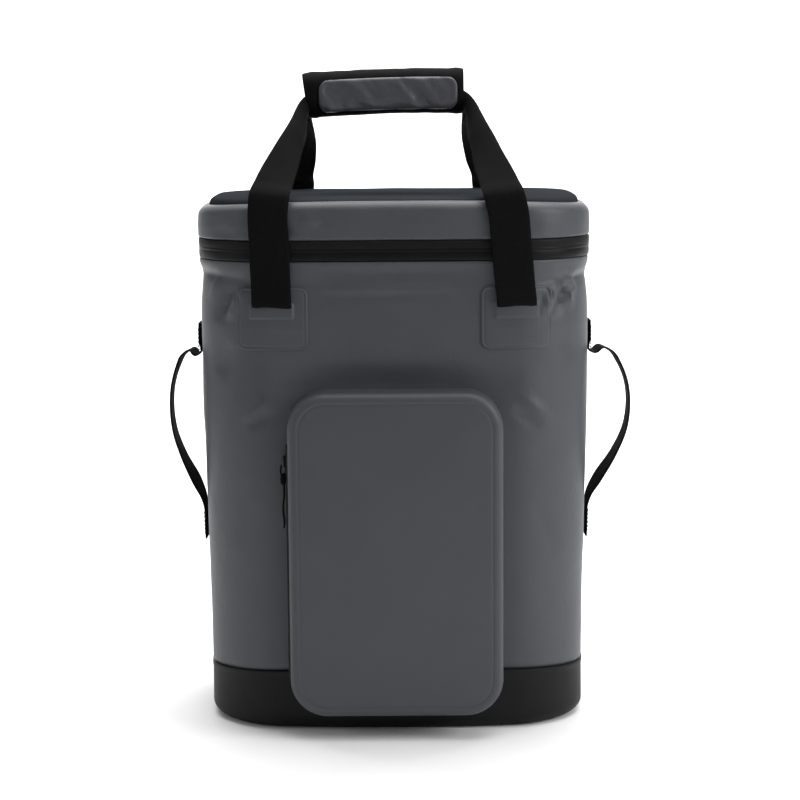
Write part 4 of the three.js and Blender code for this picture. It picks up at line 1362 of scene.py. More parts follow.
@dataclass
class Pocket:
    """The moulded front pocket with the zip on its left gusset."""

    form: BagForm
    finishes: Finishes
    width: float = 170.5
    height: float = 262.0
    bottom: float = 20.0
    depth: float = 30.0
    corner: float = 30.0
    edge: float = 7.0
    crown: float = 2.5
    weld_inset: float = 8.5
    weld_depth: float = 0.4
    weld_width: float = 0.8
    root_rings: int = 3

    def build(self) -> None:
        """Builds the pocket and its zip."""
        self.skin()
        self.zip_tape()
        self.pull()

    @property
    def front(self) -> float:
        """How far the pocket's front is from the bag's middle."""
        return self.form.depth / 2 + self.depth

    def ring(self, forward: float, inset: float) -> np.ndarray:
        """The pocket's outline.

        Args:
            forward: how far in front of the bag's middle it is.
            inset: how far inside the pocket's edge.

        Returns:
            Points in space.
        """
        half = self.width / 2 - inset, self.height / 2 - inset
        corner = max(self.corner - inset, 4.0) if inset < 60 else min(4.0, half[0] * 0.9)
        flat = rounded_outline(*half, corner, (14, 60, 44, 44))
        heights = flat[:, 1] + self.bottom + self.height / 2
        return np.stack([flat[:, 0], np.full(len(flat), -forward), heights], axis=1)

    def skin(self) -> bpy.types.Object:
        """The pocket's moulded skin."""
        rim = self.front - self.crown
        rings = [self.rooted(self.ring(0.0, 0.0), lift) for lift in (-2.5, 1.0)]
        for share in (0.25, 0.5, 0.75):
            rings.append(rings[1] * (1 - share) + self.ring(rim - self.edge, 0.0) * share)
        rings += [self.ring(rim - back, inset) for inset, back in quarter(self.edge, 9)]
        insets = [7.4, 7.9, 8.3, 8.7, 9.1, 9.6, 10.2, 11.5, *np.arange(13.5, 84.5, 2.4), 84.4, 85.245]
        reach = self.width / 2 - self.edge
        for inset in insets:
            share = (inset - self.edge) / reach
            weld = self.weld_depth * groove(np.array(inset - self.weld_inset), self.weld_width)
            rings.append(self.ring(rim + self.crown * (1 - (1 - share) ** 2) - float(weld), inset))
        grid = np.stack(rings)
        dent = Lumps(34.0, 11).at(grid) * 0.35
        dent[:self.root_rings] = 0.0
        grid[..., 1] -= dent
        return settle(
            Shape().add_grid(grid, closed=True, flip=True).make("pocket_skin", self.finishes.pocket),
            ["pocket_shell"])

    def rooted(self, ring: np.ndarray, lift: float) -> np.ndarray:
        """The pocket's outline where it meets the bag.

        Args:
            ring: the outline.
            lift: how far above the bag it lies.

        Returns:
            The outline on the bag.
        """
        placed = ring.copy()
        for index, (x, _, z) in enumerate(ring):
            placed[index, 1] = -self.form.depth_at(x, max(z, 1.0), End.FRONT) - lift
        return placed

    def zip_tape(self) -> bpy.types.Object:
        """The zip on the left gusset: a tape with a closed chain."""
        low, high = (np.array(corner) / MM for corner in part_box("pocket_zip_tape"))
        across, up, depth = plate(high[1] - low[1], high[2] - low[2], 2.0, 1.0)
        middle = (low + high) / 2
        ridge = 0.8 * groove(across, 1.5) - 0.5 * groove(across, 0.25)
        x = high[0] - 1.1 * edge_rise(depth, 0.8) - ridge
        grid = np.stack([x, across + middle[1], up + middle[2]], axis=-1)
        shape = Shape().add_grid(grid)
        return settle(shape.make("pocket_zip_band", self.finishes.zip), ["pocket_zip_tape"])

    def pull(self) -> None:
        """The pocket zip's slider, and its pull: a loop of cord, a knot and a limp flat tail."""
        low, high = (np.array(corner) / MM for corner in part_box("pocket_zip_slider"))
        body = Shape()
        block_between(body, low + [0.8, 0.5, 0], high, 1.2)
        block_between(body, low + [0.0, 2.8, 2.0], high - [0.6, 2.8, 2.0], 0.8)
        settle(body.make("pocket_slider_body", self.finishes.moulded), ["pocket_zip_slider"])
        top = np.array([(low[0] + high[0]) / 2 - 0.2, (low[1] + high[1]) / 2, low[2] + 2.0])
        shape = Shape()
        turn = np.linspace(0, FULL_TURN, 28)
        loop = top + np.stack([
            2.1 * np.sin(turn), 0.8 * np.sin(turn), -5.2 + 5.2 * np.cos(turn)], axis=1)
        shape.add_tube(cord_tube(loop, 0.75, 8))
        knot = top + [0.0, 0.0, -12.0]
        rise = np.linspace(-4.8, 4.8, 12)
        bulge = 2.6 * np.sqrt(np.maximum(1 - (rise / 5.0) ** 2, 0.02)) * (1 + 0.14 * np.cos(rise * 2.4))
        shape.add_tube(cord_tube(knot + rise[:, None] * [0.1, 0.0, 1.0], bulge, 12, 0.8))
        drop = np.linspace(0, 1, 26)
        sway = 0.5 - 1.0 * drop + 0.9 * np.sin(drop * 9.0) * drop
        tail = knot + np.stack([sway, 0 * drop, -4.0 - 35.0 * drop], axis=1)
        band = Stations(tail, np.tile([0.0, 1.0, 0.0], (len(tail), 1)), np.zeros(len(tail)))
        width = 3.6 + 3.0 * np.clip(drop * 3, 0, 1)
        rings, weave = band.band(width, 1.5, 8)
        shape.add_tube(rings, weave=weave)
        settle(shape.make("pocket_pull_cord", self.finishes.webbing), ["pocket_zip_pull"])


# The carry handle


@dataclass
class CarryHandle:
    """The carry handle: four welded patches, two webbings, and the padded grip that joins them.

    Each pair has a front and a rear webbing's number, but the slants are a sleeve end's shift and tilt.
    A row of the leg's table is, for the front and the rear webbing, its place across as a share of half
    the spacing, and for both its share of the sway. Then come its depth and its rise as shares, its lean
    in degrees, and its share of the curl.
    """

    form: BagForm
    finishes: Finishes
    width: float = 32.0
    thickness: float = 1.8
    spacing: float = 194.0
    top: float = 534.6
    sway: float = -6.3
    strap_end: float = 350.2
    rim_spread: Pair = (0.97, 0.885)
    rim_sway: Pair = (0.78, 0.1)
    left_slant: Pair = (1.0, -2.8)
    right_slant: Pair = (-2.4, 0.0)
    patch_width: float = 57.0
    patch_height: float = 50.0
    patch_bottom: float = 313.0
    patch_corner: float = 7.0
    patch_thickness: float = 1.2
    block_height: float = 13.0
    block_thickness: float = 1.4
    patch_groove: float = 2.6
    stitch_lines: Pair = (3.4, 12.6)
    contact_heights: tuple[float, ...] = (363.0, 383.5, 400.0)
    rim_below: float = 10.5
    wrap_length: float = 134.0
    wrap_height: float = 37.0
    wrap_thickness: float = 31.0
    wrap_wall: float = 3.4
    wrap_arch: float = 1.6
    wrap_tilt: float = 1.6
    drop: float = 1.0
    gather: float = 18.5
    fold_back: float = 0.6
    fold_fade: float = 0.04
    gather_fade: float = 0.2
    inside_step: float = 27.0
    end_swell: float = 0.7
    curl: float = math.radians(135)
    pad_length: float = 114.0
    pad_thickness: float = 2.0
    pad_margin: float = 9.0
    pad_foot: float = 4.0
    pad_shift: float = 2.5
    clearance: float = 0.35
    leg: tuple[tuple[float, ...], ...] = (
        (0.95, 0.883, 0.85, 0.1, 1.0, 0.04, 2, 0.0),
        (0.912, 0.865, 0.9, 0.2, 0.86, 0.17, 6, 0.03),
        (0.843, 0.79, 0.92, 0.4, 0.65, 0.37, 14, 0.12),
        (0.797, 0.742, 0.85, 0.52, 0.5, 0.515, 22, 0.25),
        (0.748, 0.705, 0.8, 0.64, 0.36, 0.64, 33, 0.4),
        (0.712, 0.68, 0.8, 0.75, 0.22, 0.745, 46, 0.6),
        (0.686, 0.668, 0.85, 0.85, 0.11, 0.83, 62, 0.8),
        (0.66, 0.66, 0.92, 0.93, 0.04, 0.885, 75, 0.93),
        (0.615, 0.625, 1.0, 0.98, 0.01, 0.93, 84, 1.0),
        (0.52, 0.52, 1.0, 1.0, 0.0, 0.98, 88, 1.0),
    )

    def build(self) -> None:
        """Builds every piece of the handle."""
        for end in End:
            for side in Side:
                self.patch(end, side)
            self.webbing(end)
        self.sleeve()
        for end in End:
            self.pad(end)

    def patch(self, end: End, side: Side) -> bpy.types.Object:
        """A welded patch with the ridges over the webbing's sewn end.

        Args:
            end: front or rear.
            side: left or right.

        Returns:
            The patch.
        """
        across, up, depth = plate(self.patch_width, self.patch_height, self.patch_corner, 0.75)
        lift = self.patch_thickness * (0.1 + 0.9 * edge_rise(depth, 0.9))
        lift -= 0.4 * groove(depth - self.patch_groove, 0.7)
        block_top = self.strap_end - self.patch_bottom - self.patch_height / 2 + 0.6
        block_middle = block_top - self.block_height / 2
        half = (self.width / 2 + 1.4, self.block_height / 2)
        raised = inside_depth(across, up - block_middle, half, 2.0)
        lift += self.block_thickness * edge_rise(np.maximum(raised, 0), 1.6) * (raised > 0)
        within = np.clip((self.width / 2 - np.abs(across)) / 2, 0, 1)
        for below in self.stitch_lines:
            lift -= 0.55 * groove(up - (block_top - below), 0.65) * within
        x = side.value * self.spacing / 2
        shape = self.form.cover(across + x, up + self.patch_bottom + self.patch_height / 2, lift, end)
        label = f"{end.label}_{side.label}"
        return settle(
            shape.make(f"patch_{label}", self.finishes.patch, 60.0), [f"strap_patch_{label}"])

    def grip_middle(self, along: np.ndarray | float) -> np.ndarray | float:
        """The height of the grip's middle at a distance along it."""
        share = 2 * along / self.wrap_length
        return self.top - self.wrap_height / 2 + self.wrap_tilt * share - self.wrap_arch * share**2

    def leg_rows(self, side: Side, end: End) -> list[list[float]]:
        """Rows for one leg of a webbing, as in front, from its sewn end to the grip.

        Args:
            side: left or right.
            end: whose leg it is.

        Returns:
            Rows of a middle, a direction across and a curl.
        """
        standoff = self.patch_thickness + 3 * self.clearance + self.thickness / 2
        column = 0 if end is End.FRONT else 1
        half, rim = self.spacing / 2, self.form.height - self.rim_below
        rows = []
        for height in (self.strap_end, *self.contact_heights, rim):
            share = (height - self.strap_end) / (self.form.height - self.strap_end)
            spread = half * (1 + (self.rim_spread[column] - 1) * share)
            x = side.value * spread + self.sway * self.rim_sway[column] * share
            left, middle, right = (
                float(np.interp(x + shift, *self.front_line(height, end)))
                for shift in (-self.width / 2, 0, self.width / 2))
            across = unit(np.array([self.width, right - left, 0.0]))
            rows.append([x, middle - standoff, height, *across, 0.0])
        tucked = [rows[0][0], rows[0][1] + 2.6, self.strap_end - 3.5, *rows[0][3:]]
        mouth = self.grip_middle(side.value * self.wrap_length / 2) - self.drop
        for row in self.leg:
            deep, rise, lean, curl = row[4:]
            turn = math.radians(lean)
            y = -(self.held_depth + (self.form.depth / 2 - self.held_depth) * deep)
            height = self.form.height + rise * (mouth - self.form.height)
            x = side.value * row[column] * half + row[column + 2] * self.sway
            folded = self.fold_back * math.sin(turn) * min(1.0, deep / self.fold_fade)
            across = (math.cos(turn), -side.value * folded, side.value * math.sin(turn))
            rows.append([x, y, height, *across, curl * self.curl])
        return [tucked, *rows]

    @property
    def held_depth(self) -> float:
        """How far the back of a webbing in the grip stands from the middle."""
        return self.width / self.curl * (1 - math.cos(self.curl / 2)) + self.thickness + self.clearance

    def front_line(self, height: float, end: End) -> tuple[np.ndarray, np.ndarray]:
        """The bag's front or rear at a height, as places across and depths towards the front."""
        ring = self.form.ring(height) * [1, -end.value, 1]
        half = sorted_by(ring[ring[:, 1] < 0], 0)
        return half[:, 0], half[:, 1]

    def webbing(self, end: End) -> bpy.types.Object:
        """One webbing from patch to patch through the grip.

        Args:
            end: front or rear.

        Returns:
            The webbing.
        """
        left, right = self.leg_rows(Side.LEFT, end), self.leg_rows(Side.RIGHT, end)[::-1]
        right = [[*row[:3], *(-value for value in row[3:6]), row[6]] for row in right]
        inside = [
            [self.sway + at, -self.held_depth, self.grip_middle(at) - self.drop, 0.0, 0.0, -1.0, self.curl]
            for at in (-self.inside_step, 0.0, self.inside_step)]
        stations = Stations.smooth([*left, *inside, *right], 260)
        curled = np.clip(stations.curl / self.curl, 0, 1)
        wide = self.gather + (self.width - self.gather) * np.exp(-curled / self.gather_fade)
        rings, weave = stations.band(wide, self.thickness, 18)
        rings[..., 1] = np.minimum(rings[..., 1], -self.clearance / 2)
        if end is End.REAR:
            rings[..., 1] *= -1
        shape = Shape().add_tube(rings, flip=end is End.REAR, weave=weave)
        return settle(
            shape.make(f"carry_webbing_{end.label}", self.finishes.webbing),
            [f"handle_strap_{end.label}"])

    def section(self, along: float, height: float, thickness: float, corner: float) -> np.ndarray:
        """A section of the grip.

        Args:
            along: the distance along it.
            height: its height.
            thickness: its thickness.
            corner: its corner radius.

        Returns:
            A ring of points.
        """
        flat = rounded_outline(thickness / 2, height / 2, corner, (10, 8, 6, 6))
        return np.stack(
            [np.full(len(flat), self.sway + along), flat[:, 0], self.grip_middle(along) + flat[:, 1]], axis=1)

    def sleeve(self) -> bpy.types.Object:
        """The black sleeve round both webbings, open at its ends."""
        half, wall = self.wrap_length / 2, self.wrap_wall
        corner = self.wrap_thickness / 2 - wall / 2
        ends = [(half - 16, wall + 0.6), (half - 3, wall), (half - 0.8, wall - 0.3), (half, wall - 1.2),
                (half, 0.9), (half - 0.7, 0.2), (half - 2.2, 0.0)]
        rings = [(-at, inset) for at, inset in ends]
        rings += [(at, 0.0) for at in np.linspace(-half + 5, half - 5, 46)]
        rings += ends[::-1]
        sections = []
        for at, inset in rings:
            swell = self.end_swell * math.exp(-((abs(at) - half + 7) / 4) ** 2)
            size = -2 * inset + 2 * swell
            ring = self.section(
                at, self.wrap_height + size, self.wrap_thickness + size, max(corner - inset + swell, 2.0))
            near_end = np.clip((abs(at) / half - 0.75) / 0.25, 0, 1)
            shift, tilt = self.left_slant if at < 0 else self.right_slant
            slant = tilt * (ring[:, 2] - self.grip_middle(at)) / (self.wrap_height / 2)
            ring[:, 0] += near_end * (shift + slant)
            sections.append(ring)
        grid = np.stack(sections)
        outward = unit(grid - grid.mean(axis=1, keepdims=True))
        grid = grid + outward * (Lumps(9.0, 21).at(grid) * 0.3)[..., None]
        return settle(
            Shape().add_tube(grid).make("grip_sleeve", self.finishes.wrap), ["handle_wrap"])

    def pad(self, end: End) -> bpy.types.Object:
        """A grey pad on the sleeve, crinkled by the bend.

        Args:
            end: on its front or its rear.

        Returns:
            The pad.
        """
        corner = self.wrap_thickness / 2 - self.wrap_wall / 2
        flat = rounded_outline(self.wrap_thickness / 2, self.wrap_height / 2, corner, (24, 12, 10, 10))
        side = sorted_by(flat[flat[:, 0] < -0.5], 1)
        low, high = (self.pad_foot - self.wrap_height / 2, self.wrap_height / 2 - self.pad_margin + 1.5)
        across, up, depth = plate(self.pad_length, high - low, 8.0, 0.9)
        height = up + (high + low) / 2
        y, ahead = (np.interp(height + step, side[:, 1], side[:, 0]) for step in (0.0, 0.4))
        slope = (ahead - y) / 0.4
        level = 1 / np.hypot(1, slope)
        spots = np.stack([across * 1.0 + up * 0.8, up * 0.45, across * 0 + end.value * 90.0], axis=-1)
        crinkle = Lumps(11.0, 31).at(spots) * 1.7 + Lumps(5.0, 32).at(spots) * 0.5
        lift = self.clearance + (self.pad_thickness + 0.5) * edge_rise(depth, 3.0)
        lift += crinkle * np.clip(depth / 5, 0, 1)
        middle = self.grip_middle(across + self.pad_shift)
        x = across + self.sway + self.pad_shift
        grid = np.stack([x, y - level * lift, height + slope * level * lift + middle], axis=-1)
        if end is End.REAR:
            grid[..., 1] *= -1
        return settle(
            Shape().add_grid(grid, flip=end is End.REAR).make(f"grip_pad_{end.label}", self.finishes.pad),
            [f"handle_pad_{end.label}"])


# The side handles


@dataclass
class SideHandles:
    """A webbing loop on each side, sewn down at both ends.

    A row of the loop's table is how far it stands out, as a share of its reach, and its rise as a share
    of its height. The two twists are in degrees.
    """

    form: BagForm
    finishes: Finishes
    width: float = 25.0
    thickness: float = 1.8
    forward: float = 25.0
    bottom: float = 177.0
    height: float = 121.0
    tab: float = 30.0
    twist: float = -1.0
    end_twist: float = -14.0
    reach: Mapping[Side, float] = field(default_factory=lambda: {Side.LEFT: 25.0, Side.RIGHT: 33.0})
    loop: tuple[Pair, ...] = (
        (0.05, 0.03), (0.26, 0.14), (0.66, 0.32), (0.93, 0.5), (1.0, 0.67),
        (0.93, 0.83), (0.77, 0.94), (0.55, 1.03), (0.3, 1.06), (0.07, 1.03),
    )

    def build(self) -> None:
        """Builds both handles."""
        for side in Side:
            self.handle(side)

    def surface(self, height: float) -> float:
        """How far out a webbing's inner face lies on the bag's side at a height."""
        spots = (-self.forward - self.width / 2, -self.forward, -self.forward + self.width / 2)
        return max(self.form.side_reach(spot, height) for spot in spots)

    def handle(self, side: Side) -> bpy.types.Object:
        """One handle with its stitches.

        Args:
            side: left or right.

        Returns:
            The handle.
        """
        standoff = self.thickness / 2 + 0.5
        top = self.bottom + self.height

        def sewn(height: float) -> list[float]:
            """A row where the webbing lies on the bag."""
            return [self.surface(height) + standoff, -self.forward, height, 0, 1, 0, 0]

        rows = [sewn(self.bottom - under) for under in (self.tab, self.tab / 2, self.width / 5)]
        for out, rise in self.loop:
            height = self.bottom + rise * self.height
            x = self.surface(height) + standoff + out * self.reach[side]
            twist = math.radians((self.twist + self.end_twist * (1 - out)) * min(1.0, out * 6))
            rows.append([x, -self.forward, height, side.value * math.sin(twist), math.cos(twist), 0, 0])
        rows += [sewn(top + over) for over in (self.width / 5, self.tab / 2, self.tab)]
        for row in rows:
            row[0] *= side.value
        stations = Stations.smooth(rows, 120)
        rings, weave = stations.band(self.width, self.thickness, 12)
        shape = Shape().add_tube(rings, weave=weave)
        for low in (self.bottom - self.tab + 4, top + 7):
            self.sew_box(shape, side, low, low + self.tab - 11)
        return settle(
            shape.make(f"side_loop_{side.label}", self.finishes.webbing),
            [f"side_handle_{side.label}"])

    def sew_box(self, shape: Shape, side: Side, low: float, high: float) -> None:
        """Sews a crossed box through the webbing.

        Args:
            shape: what takes the stitches.
            side: left or right.
            low: the box's lowest height.
            high: its highest height.
        """
        half = self.width / 2 - 3
        corners = [(-half, low), (half, low), (half, high), (-half, high), (-half, low), (half, high)]
        lines = list(zip(corners, corners[1:])) + [((-half, high), (half, low))]
        for (from_y, from_z), (to_y, to_z) in lines:
            share = np.linspace(0, 1, 12)
            height = from_z + (to_z - from_z) * share
            x = np.array([self.surface(at) for at in height]) + self.thickness + 0.6
            y = from_y + (to_y - from_y) * share - self.forward
            Seam().sew(shape, np.stack([side.value * x, y, height], axis=1))


# The back


@dataclass(frozen=True)
class Padding:
    """How a pad is filled: blown up a little as cloth, then smoothed."""

    voxel: float = 5.0
    pressure: float = 4.0
    frames: int = 18
    cap: float = 3.0

    def fill(self, made: bpy.types.Object) -> None:
        """Fills a closed piece.

        Args:
            made: the piece, whose mesh changes.
        """
        bpy.context.view_layer.objects.active = made
        remesh = made.modifiers.new("remesh", "REMESH")
        remesh.mode, remesh.voxel_size = "VOXEL", self.voxel * MM
        bpy.ops.object.modifier_apply(modifier=remesh.name)
        self.simulate(made)
        smooth = made.modifiers.new("smooth", "SMOOTH")
        smooth.iterations = 2
        bpy.ops.object.modifier_apply(modifier=smooth.name)
        finer = made.modifiers.new("finer", "SUBSURF")
        finer.levels = 1
        bpy.ops.object.modifier_apply(modifier=finer.name)
        made.data.shade_smooth()

    def simulate(self, made: bpy.types.Object) -> None:
        """Runs the cloth and caps how far a point moves.

        Args:
            made: the piece.
        """
        scene = bpy.context.scene
        start = np.zeros(len(made.data.vertices) * 3)
        made.data.vertices.foreach_get("co", start)
        cloth = made.modifiers.new("cloth", "CLOTH")
        cloth.settings.use_pressure = True
        cloth.settings.uniform_pressure_force = self.pressure
        cloth.settings.effector_weights.gravity = 0.0
        cloth.settings.tension_stiffness = 15.0
        for step in range(1, self.frames + 1):
            scene.frame_set(step)
        bpy.ops.object.modifier_apply(modifier=cloth.name)
        scene.frame_set(1)
        end = np.zeros_like(start)
        made.data.vertices.foreach_get("co", end)
        move = (end - start).reshape(-1, 3)
        far = np.linalg.norm(move, axis=1, keepdims=True)
        move *= np.minimum(1.0, self.cap * MM / np.maximum(far, 1e-9))
        made.data.vertices.foreach_set("co", (start.reshape(-1, 3) + move).ravel())


@dataclass
class Back:
    """The wearer's side: a quilted panel, two padded straps, and the webbing that draws them in.

    A row of the line's table is a shoulder pad's place across as a share of half the anchors' spacing,
    how far it bows off the back as a share of the bow, and its height as a share of the bag's.
    """

    form: BagForm
    finishes: Finishes
    panel_width: float = 236.0
    panel_bottom: float = 92.7
    panel_top: float = 309.0
    panel_corner: float = 40.0
    panel_thickness: float = 9.0
    yoke_width: float = 126.0
    yoke_bottom: float = 316.0
    yoke_height: float = 40.0
    pad_width: float = 56.0
    pad_thickness: float = 9.0
    bow: float = 46.0
    anchor_spacing: float = 204.0
    anchor_bottom: float = 51.0
    anchor_height: float = 26.0
    webbing_width: float = 25.0
    webbing_thickness: float = 1.8
    line_steps: int = 60
    channels: Pair = (-38.0, 38.0)
    cross_channels: Triple = (-58.0, 0.0, 58.0)
    binding_radius: float = 2.1
    buckle_bars: tuple[tuple[Triple, Triple], ...] = (
        ((-18, -2.5, 0), (18, 2.5, 5)),
        ((-18, -2.5, 9.8), (18, 2.5, 14.2)),
        ((-18, -2.5, 19), (18, 2.5, 24)),
        ((-18, -2.5, 0), (-13.2, 2.5, 24)),
        ((13.2, -2.5, 0), (18, 2.5, 24)),
    )
    line: tuple[tuple[float, ...], ...] = (
        (0.33, 0.0, 0.812), (0.33, 0.0, 0.765), (0.35, 0.42, 0.712), (0.41, 0.86, 0.62),
        (0.5, 1.0, 0.51), (0.6, 0.88, 0.4), (0.69, 0.62, 0.315),
    )

    def build(self) -> None:
        """Builds every piece of the back."""
        self.panel()
        self.yoke()
        for side in Side:
            self.shoulder_pad(side)
            self.buckle(side)
            self.anchor(side)
            self.lower_webbing(side)

    def panel(self) -> bpy.types.Object:
        """The quilted back panel: grooved along its edge, with upright and short cross channels."""
        height = self.panel_top - self.panel_bottom
        across, up, depth = plate(self.panel_width, height, self.panel_corner, 2.2)
        lift = 0.4 + self.panel_thickness * edge_rise(depth, 8.0)
        for place in self.channels:
            lift -= 5.0 * groove(across - place, 4.0) * np.clip(depth / 14, 0, 1)
        beside = np.clip((np.abs(across) - 42) / 4, 0, 1) * np.clip(depth / 12, 0, 1)
        for rise in self.cross_channels:
            lift -= 3.4 * groove(up - rise, 3.0) * beside
        lift -= 1.6 * groove(depth - 6.0, 1.4)
        middle = (self.panel_top + self.panel_bottom) / 2
        shape = self.form.cover(across, up + middle, lift, End.REAR)
        return settle(
            shape.make("back_pad", self.finishes.mesh, 60.0), ["back_panel"])

    def yoke(self) -> bpy.types.Object:
        """The plate that the shoulder pads are sewn to."""
        across, up, depth = plate(self.yoke_width, self.yoke_height, 7.0, 1.6)
        lift = 0.4 + 1.8 * edge_rise(depth, 1.4) - 0.5 * groove(depth - 3.6, 0.8)
        middle = self.yoke_bottom + self.yoke_height / 2
        shape = self.form.cover(across, up + middle, lift, End.REAR)
        outline = rounded_outline(self.yoke_width / 2 - 3.6, self.yoke_height / 2 - 3.6, 4.0, (6, 8, 24, 24))
        outline = np.vstack([outline, outline[:1]])
        path = self.form.face(
            np.vstack([outline[:, 0]] * 2), np.vstack([outline[:, 1]] * 2) + middle, 2.0, End.REAR)[0]
        Seam().sew(shape, path)
        return settle(shape.make("yoke_plate", self.finishes.binding), ["shoulder_yoke"])

    def middle_line(self, side: Side) -> np.ndarray:
        """The middle line of a shoulder pad.

        Args:
            side: left or right.

        Returns:
            The line's points.
        """
        face = self.form.depth / 2 + 3.4 + self.pad_thickness / 2
        rows = [
            [side.value * across * self.anchor_spacing / 2, face + off * self.bow, height * self.form.height]
            for across, off, height in self.line
        ]
        return smooth_path(np.array(rows), self.line_steps)

    def pad_end(self, side: Side) -> tuple[np.ndarray, np.ndarray]:
        """Where a shoulder pad ends, and the way it runs there."""
        line = self.middle_line(side)
        return line[-1], unit(line[-1] - line[-2])

    def shoulder_pad(self, side: Side) -> bpy.types.Object:
        """A padded strap with bound edges and a webbing down its middle.

        Args:
            side: left or right.

        Returns:
            The pad.
        """
        line = self.middle_line(side)
        stations = Stations(line, np.tile([1.0, 0.0, 0.0], (len(line), 1)), np.zeros(len(line)))
        rings, _ = stations.band(self.pad_width - 3.0, self.pad_thickness - 1.5, 10)
        pad = Shape().add_tube(rings).make(f"shoulder_strap_{side.label}", self.finishes.mesh)
        Padding().fill(pad)
        across, normal, _ = stations.frames()
        outer = Shape()
        lift = np.where(normal[:, 1:2] > 0, normal, -normal) * (self.pad_thickness / 2 + 0.9)
        path = Stations(line + lift, stations.across, stations.curl)
        grid, weave = path.band(self.webbing_width, self.webbing_thickness, 8)
        outer.add_tube(grid, weave=weave)
        for edge in (-1, 1):
            seam_line = line + lift * 1.22 + across * edge * (self.webbing_width / 2 - 2.5)
            Seam().sew(outer, seam_line)
        webbing = outer.make(f"shoulder_webbing_{side.label}", self.finishes.webbing)
        settle(webbing)
        for edge in (-1, 1):
            bound = Shape()
            path_line = line + across * edge * (self.pad_width / 2 - 0.6)
            bound.add_tube(cord_tube(path_line, self.binding_radius, 8))
            name = f"shoulder_binding_{side.label}_{'inner' if edge * side.value < 0 else 'outer'}"
            settle(bound.make(name, self.finishes.binding))
        return settle(pad, [f"shoulder_pad_{side.label}"])

    def buckle(self, side: Side) -> bpy.types.Object:
        """The plain buckle at a pad's lower end.

        Args:
            side: left or right.

        Returns:
            The buckle.
        """
        place, tangent = self.pad_end(side)
        across = unit(np.array([1.0, 0.0, 0.0]) - tangent * tangent[0])
        shape = Shape()
        for low, high in self.buckle_bars:
            block_between(shape, np.array(low, dtype=float), np.array(high, dtype=float), 1.3)
        turned = np.stack([across, np.cross(tangent, across), tangent])
        shape.points = [points @ turned + place for points in shape.points]
        return settle(
            shape.make(f"buckle_{side.label}", self.finishes.moulded),
            [f"strap_buckle_{side.label}"])

    def anchor(self, side: Side) -> bpy.types.Object:
        """The sewn tab that holds the lower webbing.

        Args:
            side: left or right.

        Returns:
            The tab.
        """
        across, up, depth = plate(self.webbing_width + 14, self.anchor_height, 7.0, 1.2)
        lift = 0.4 + 1.5 * edge_rise(depth, 1.0) - 0.4 * groove(depth - 2.6, 0.7)
        across = across + side.value * self.anchor_spacing / 2
        up = up + self.anchor_bottom + self.anchor_height / 2
        shape = self.form.cover(across, up, lift, End.REAR)
        return settle(
            shape.make(f"anchor_tab_{side.label}", self.finishes.binding),
            [f"strap_anchor_{side.label}"])

    def lower_webbing(self, side: Side) -> bpy.types.Object:
        """The webbing from the buckle down to its tab.

        Args:
            side: left or right.

        Returns:
            The webbing.
        """
        place, tangent = self.pad_end(side)
        x = side.value * self.anchor_spacing / 2

        def on_tab(height: float) -> list[float]:
            """A point on the tab at a height."""
            return [x, self.form.depth_at(x, height, End.REAR) + 3.6, height]

        tab_top = self.anchor_bottom + self.anchor_height
        points = [
            *(place + tangent * past for past in (15.0, 25.0, 31.0)),
            np.array(on_tab(self.panel_bottom + 0.4)) + [0, self.panel_thickness + 0.4, 0],
            np.array(on_tab(tab_top - 6)), np.array(on_tab(self.anchor_bottom + 6)),
        ]
        rows = [[*point, 1.0, 0.0, 0.0, 0.0] for point in points]
        stations = Stations.smooth(rows, self.line_steps)
        rings, weave = stations.band(self.webbing_width, self.webbing_thickness, 8)
        shape = Shape().add_tube(rings, weave=weave)
        return settle(
            shape.make(f"lower_webbing_{side.label}", self.finishes.webbing),
            [f"lower_strap_{side.label}"])


# The studio


@dataclass(frozen=True)
class Softbox:
    """A rectangular light, with its power in watts and the place that it points at."""

    name: str
    place: Triple
    size: Pair
    power: float
    towards: Triple = (0, 0, 220)

    def build(self) -> None:
        """Makes the light."""
        data = bpy.data.lights.new(self.name, "AREA")
        data.shape, data.energy = "RECTANGLE", self.power
        data.size, data.size_y = self.size[0] * MM, self.size[1] * MM
        made = bpy.data.objects.new(self.name, data)
        made.location = Vector(self.place) * MM
        way = Vector(self.towards) - Vector(self.place)
        made.rotation_mode = "QUATERNION"
        made.rotation_quaternion = way.to_track_quat("-Z", "Y")
        bpy.context.scene.collection.objects.link(made)


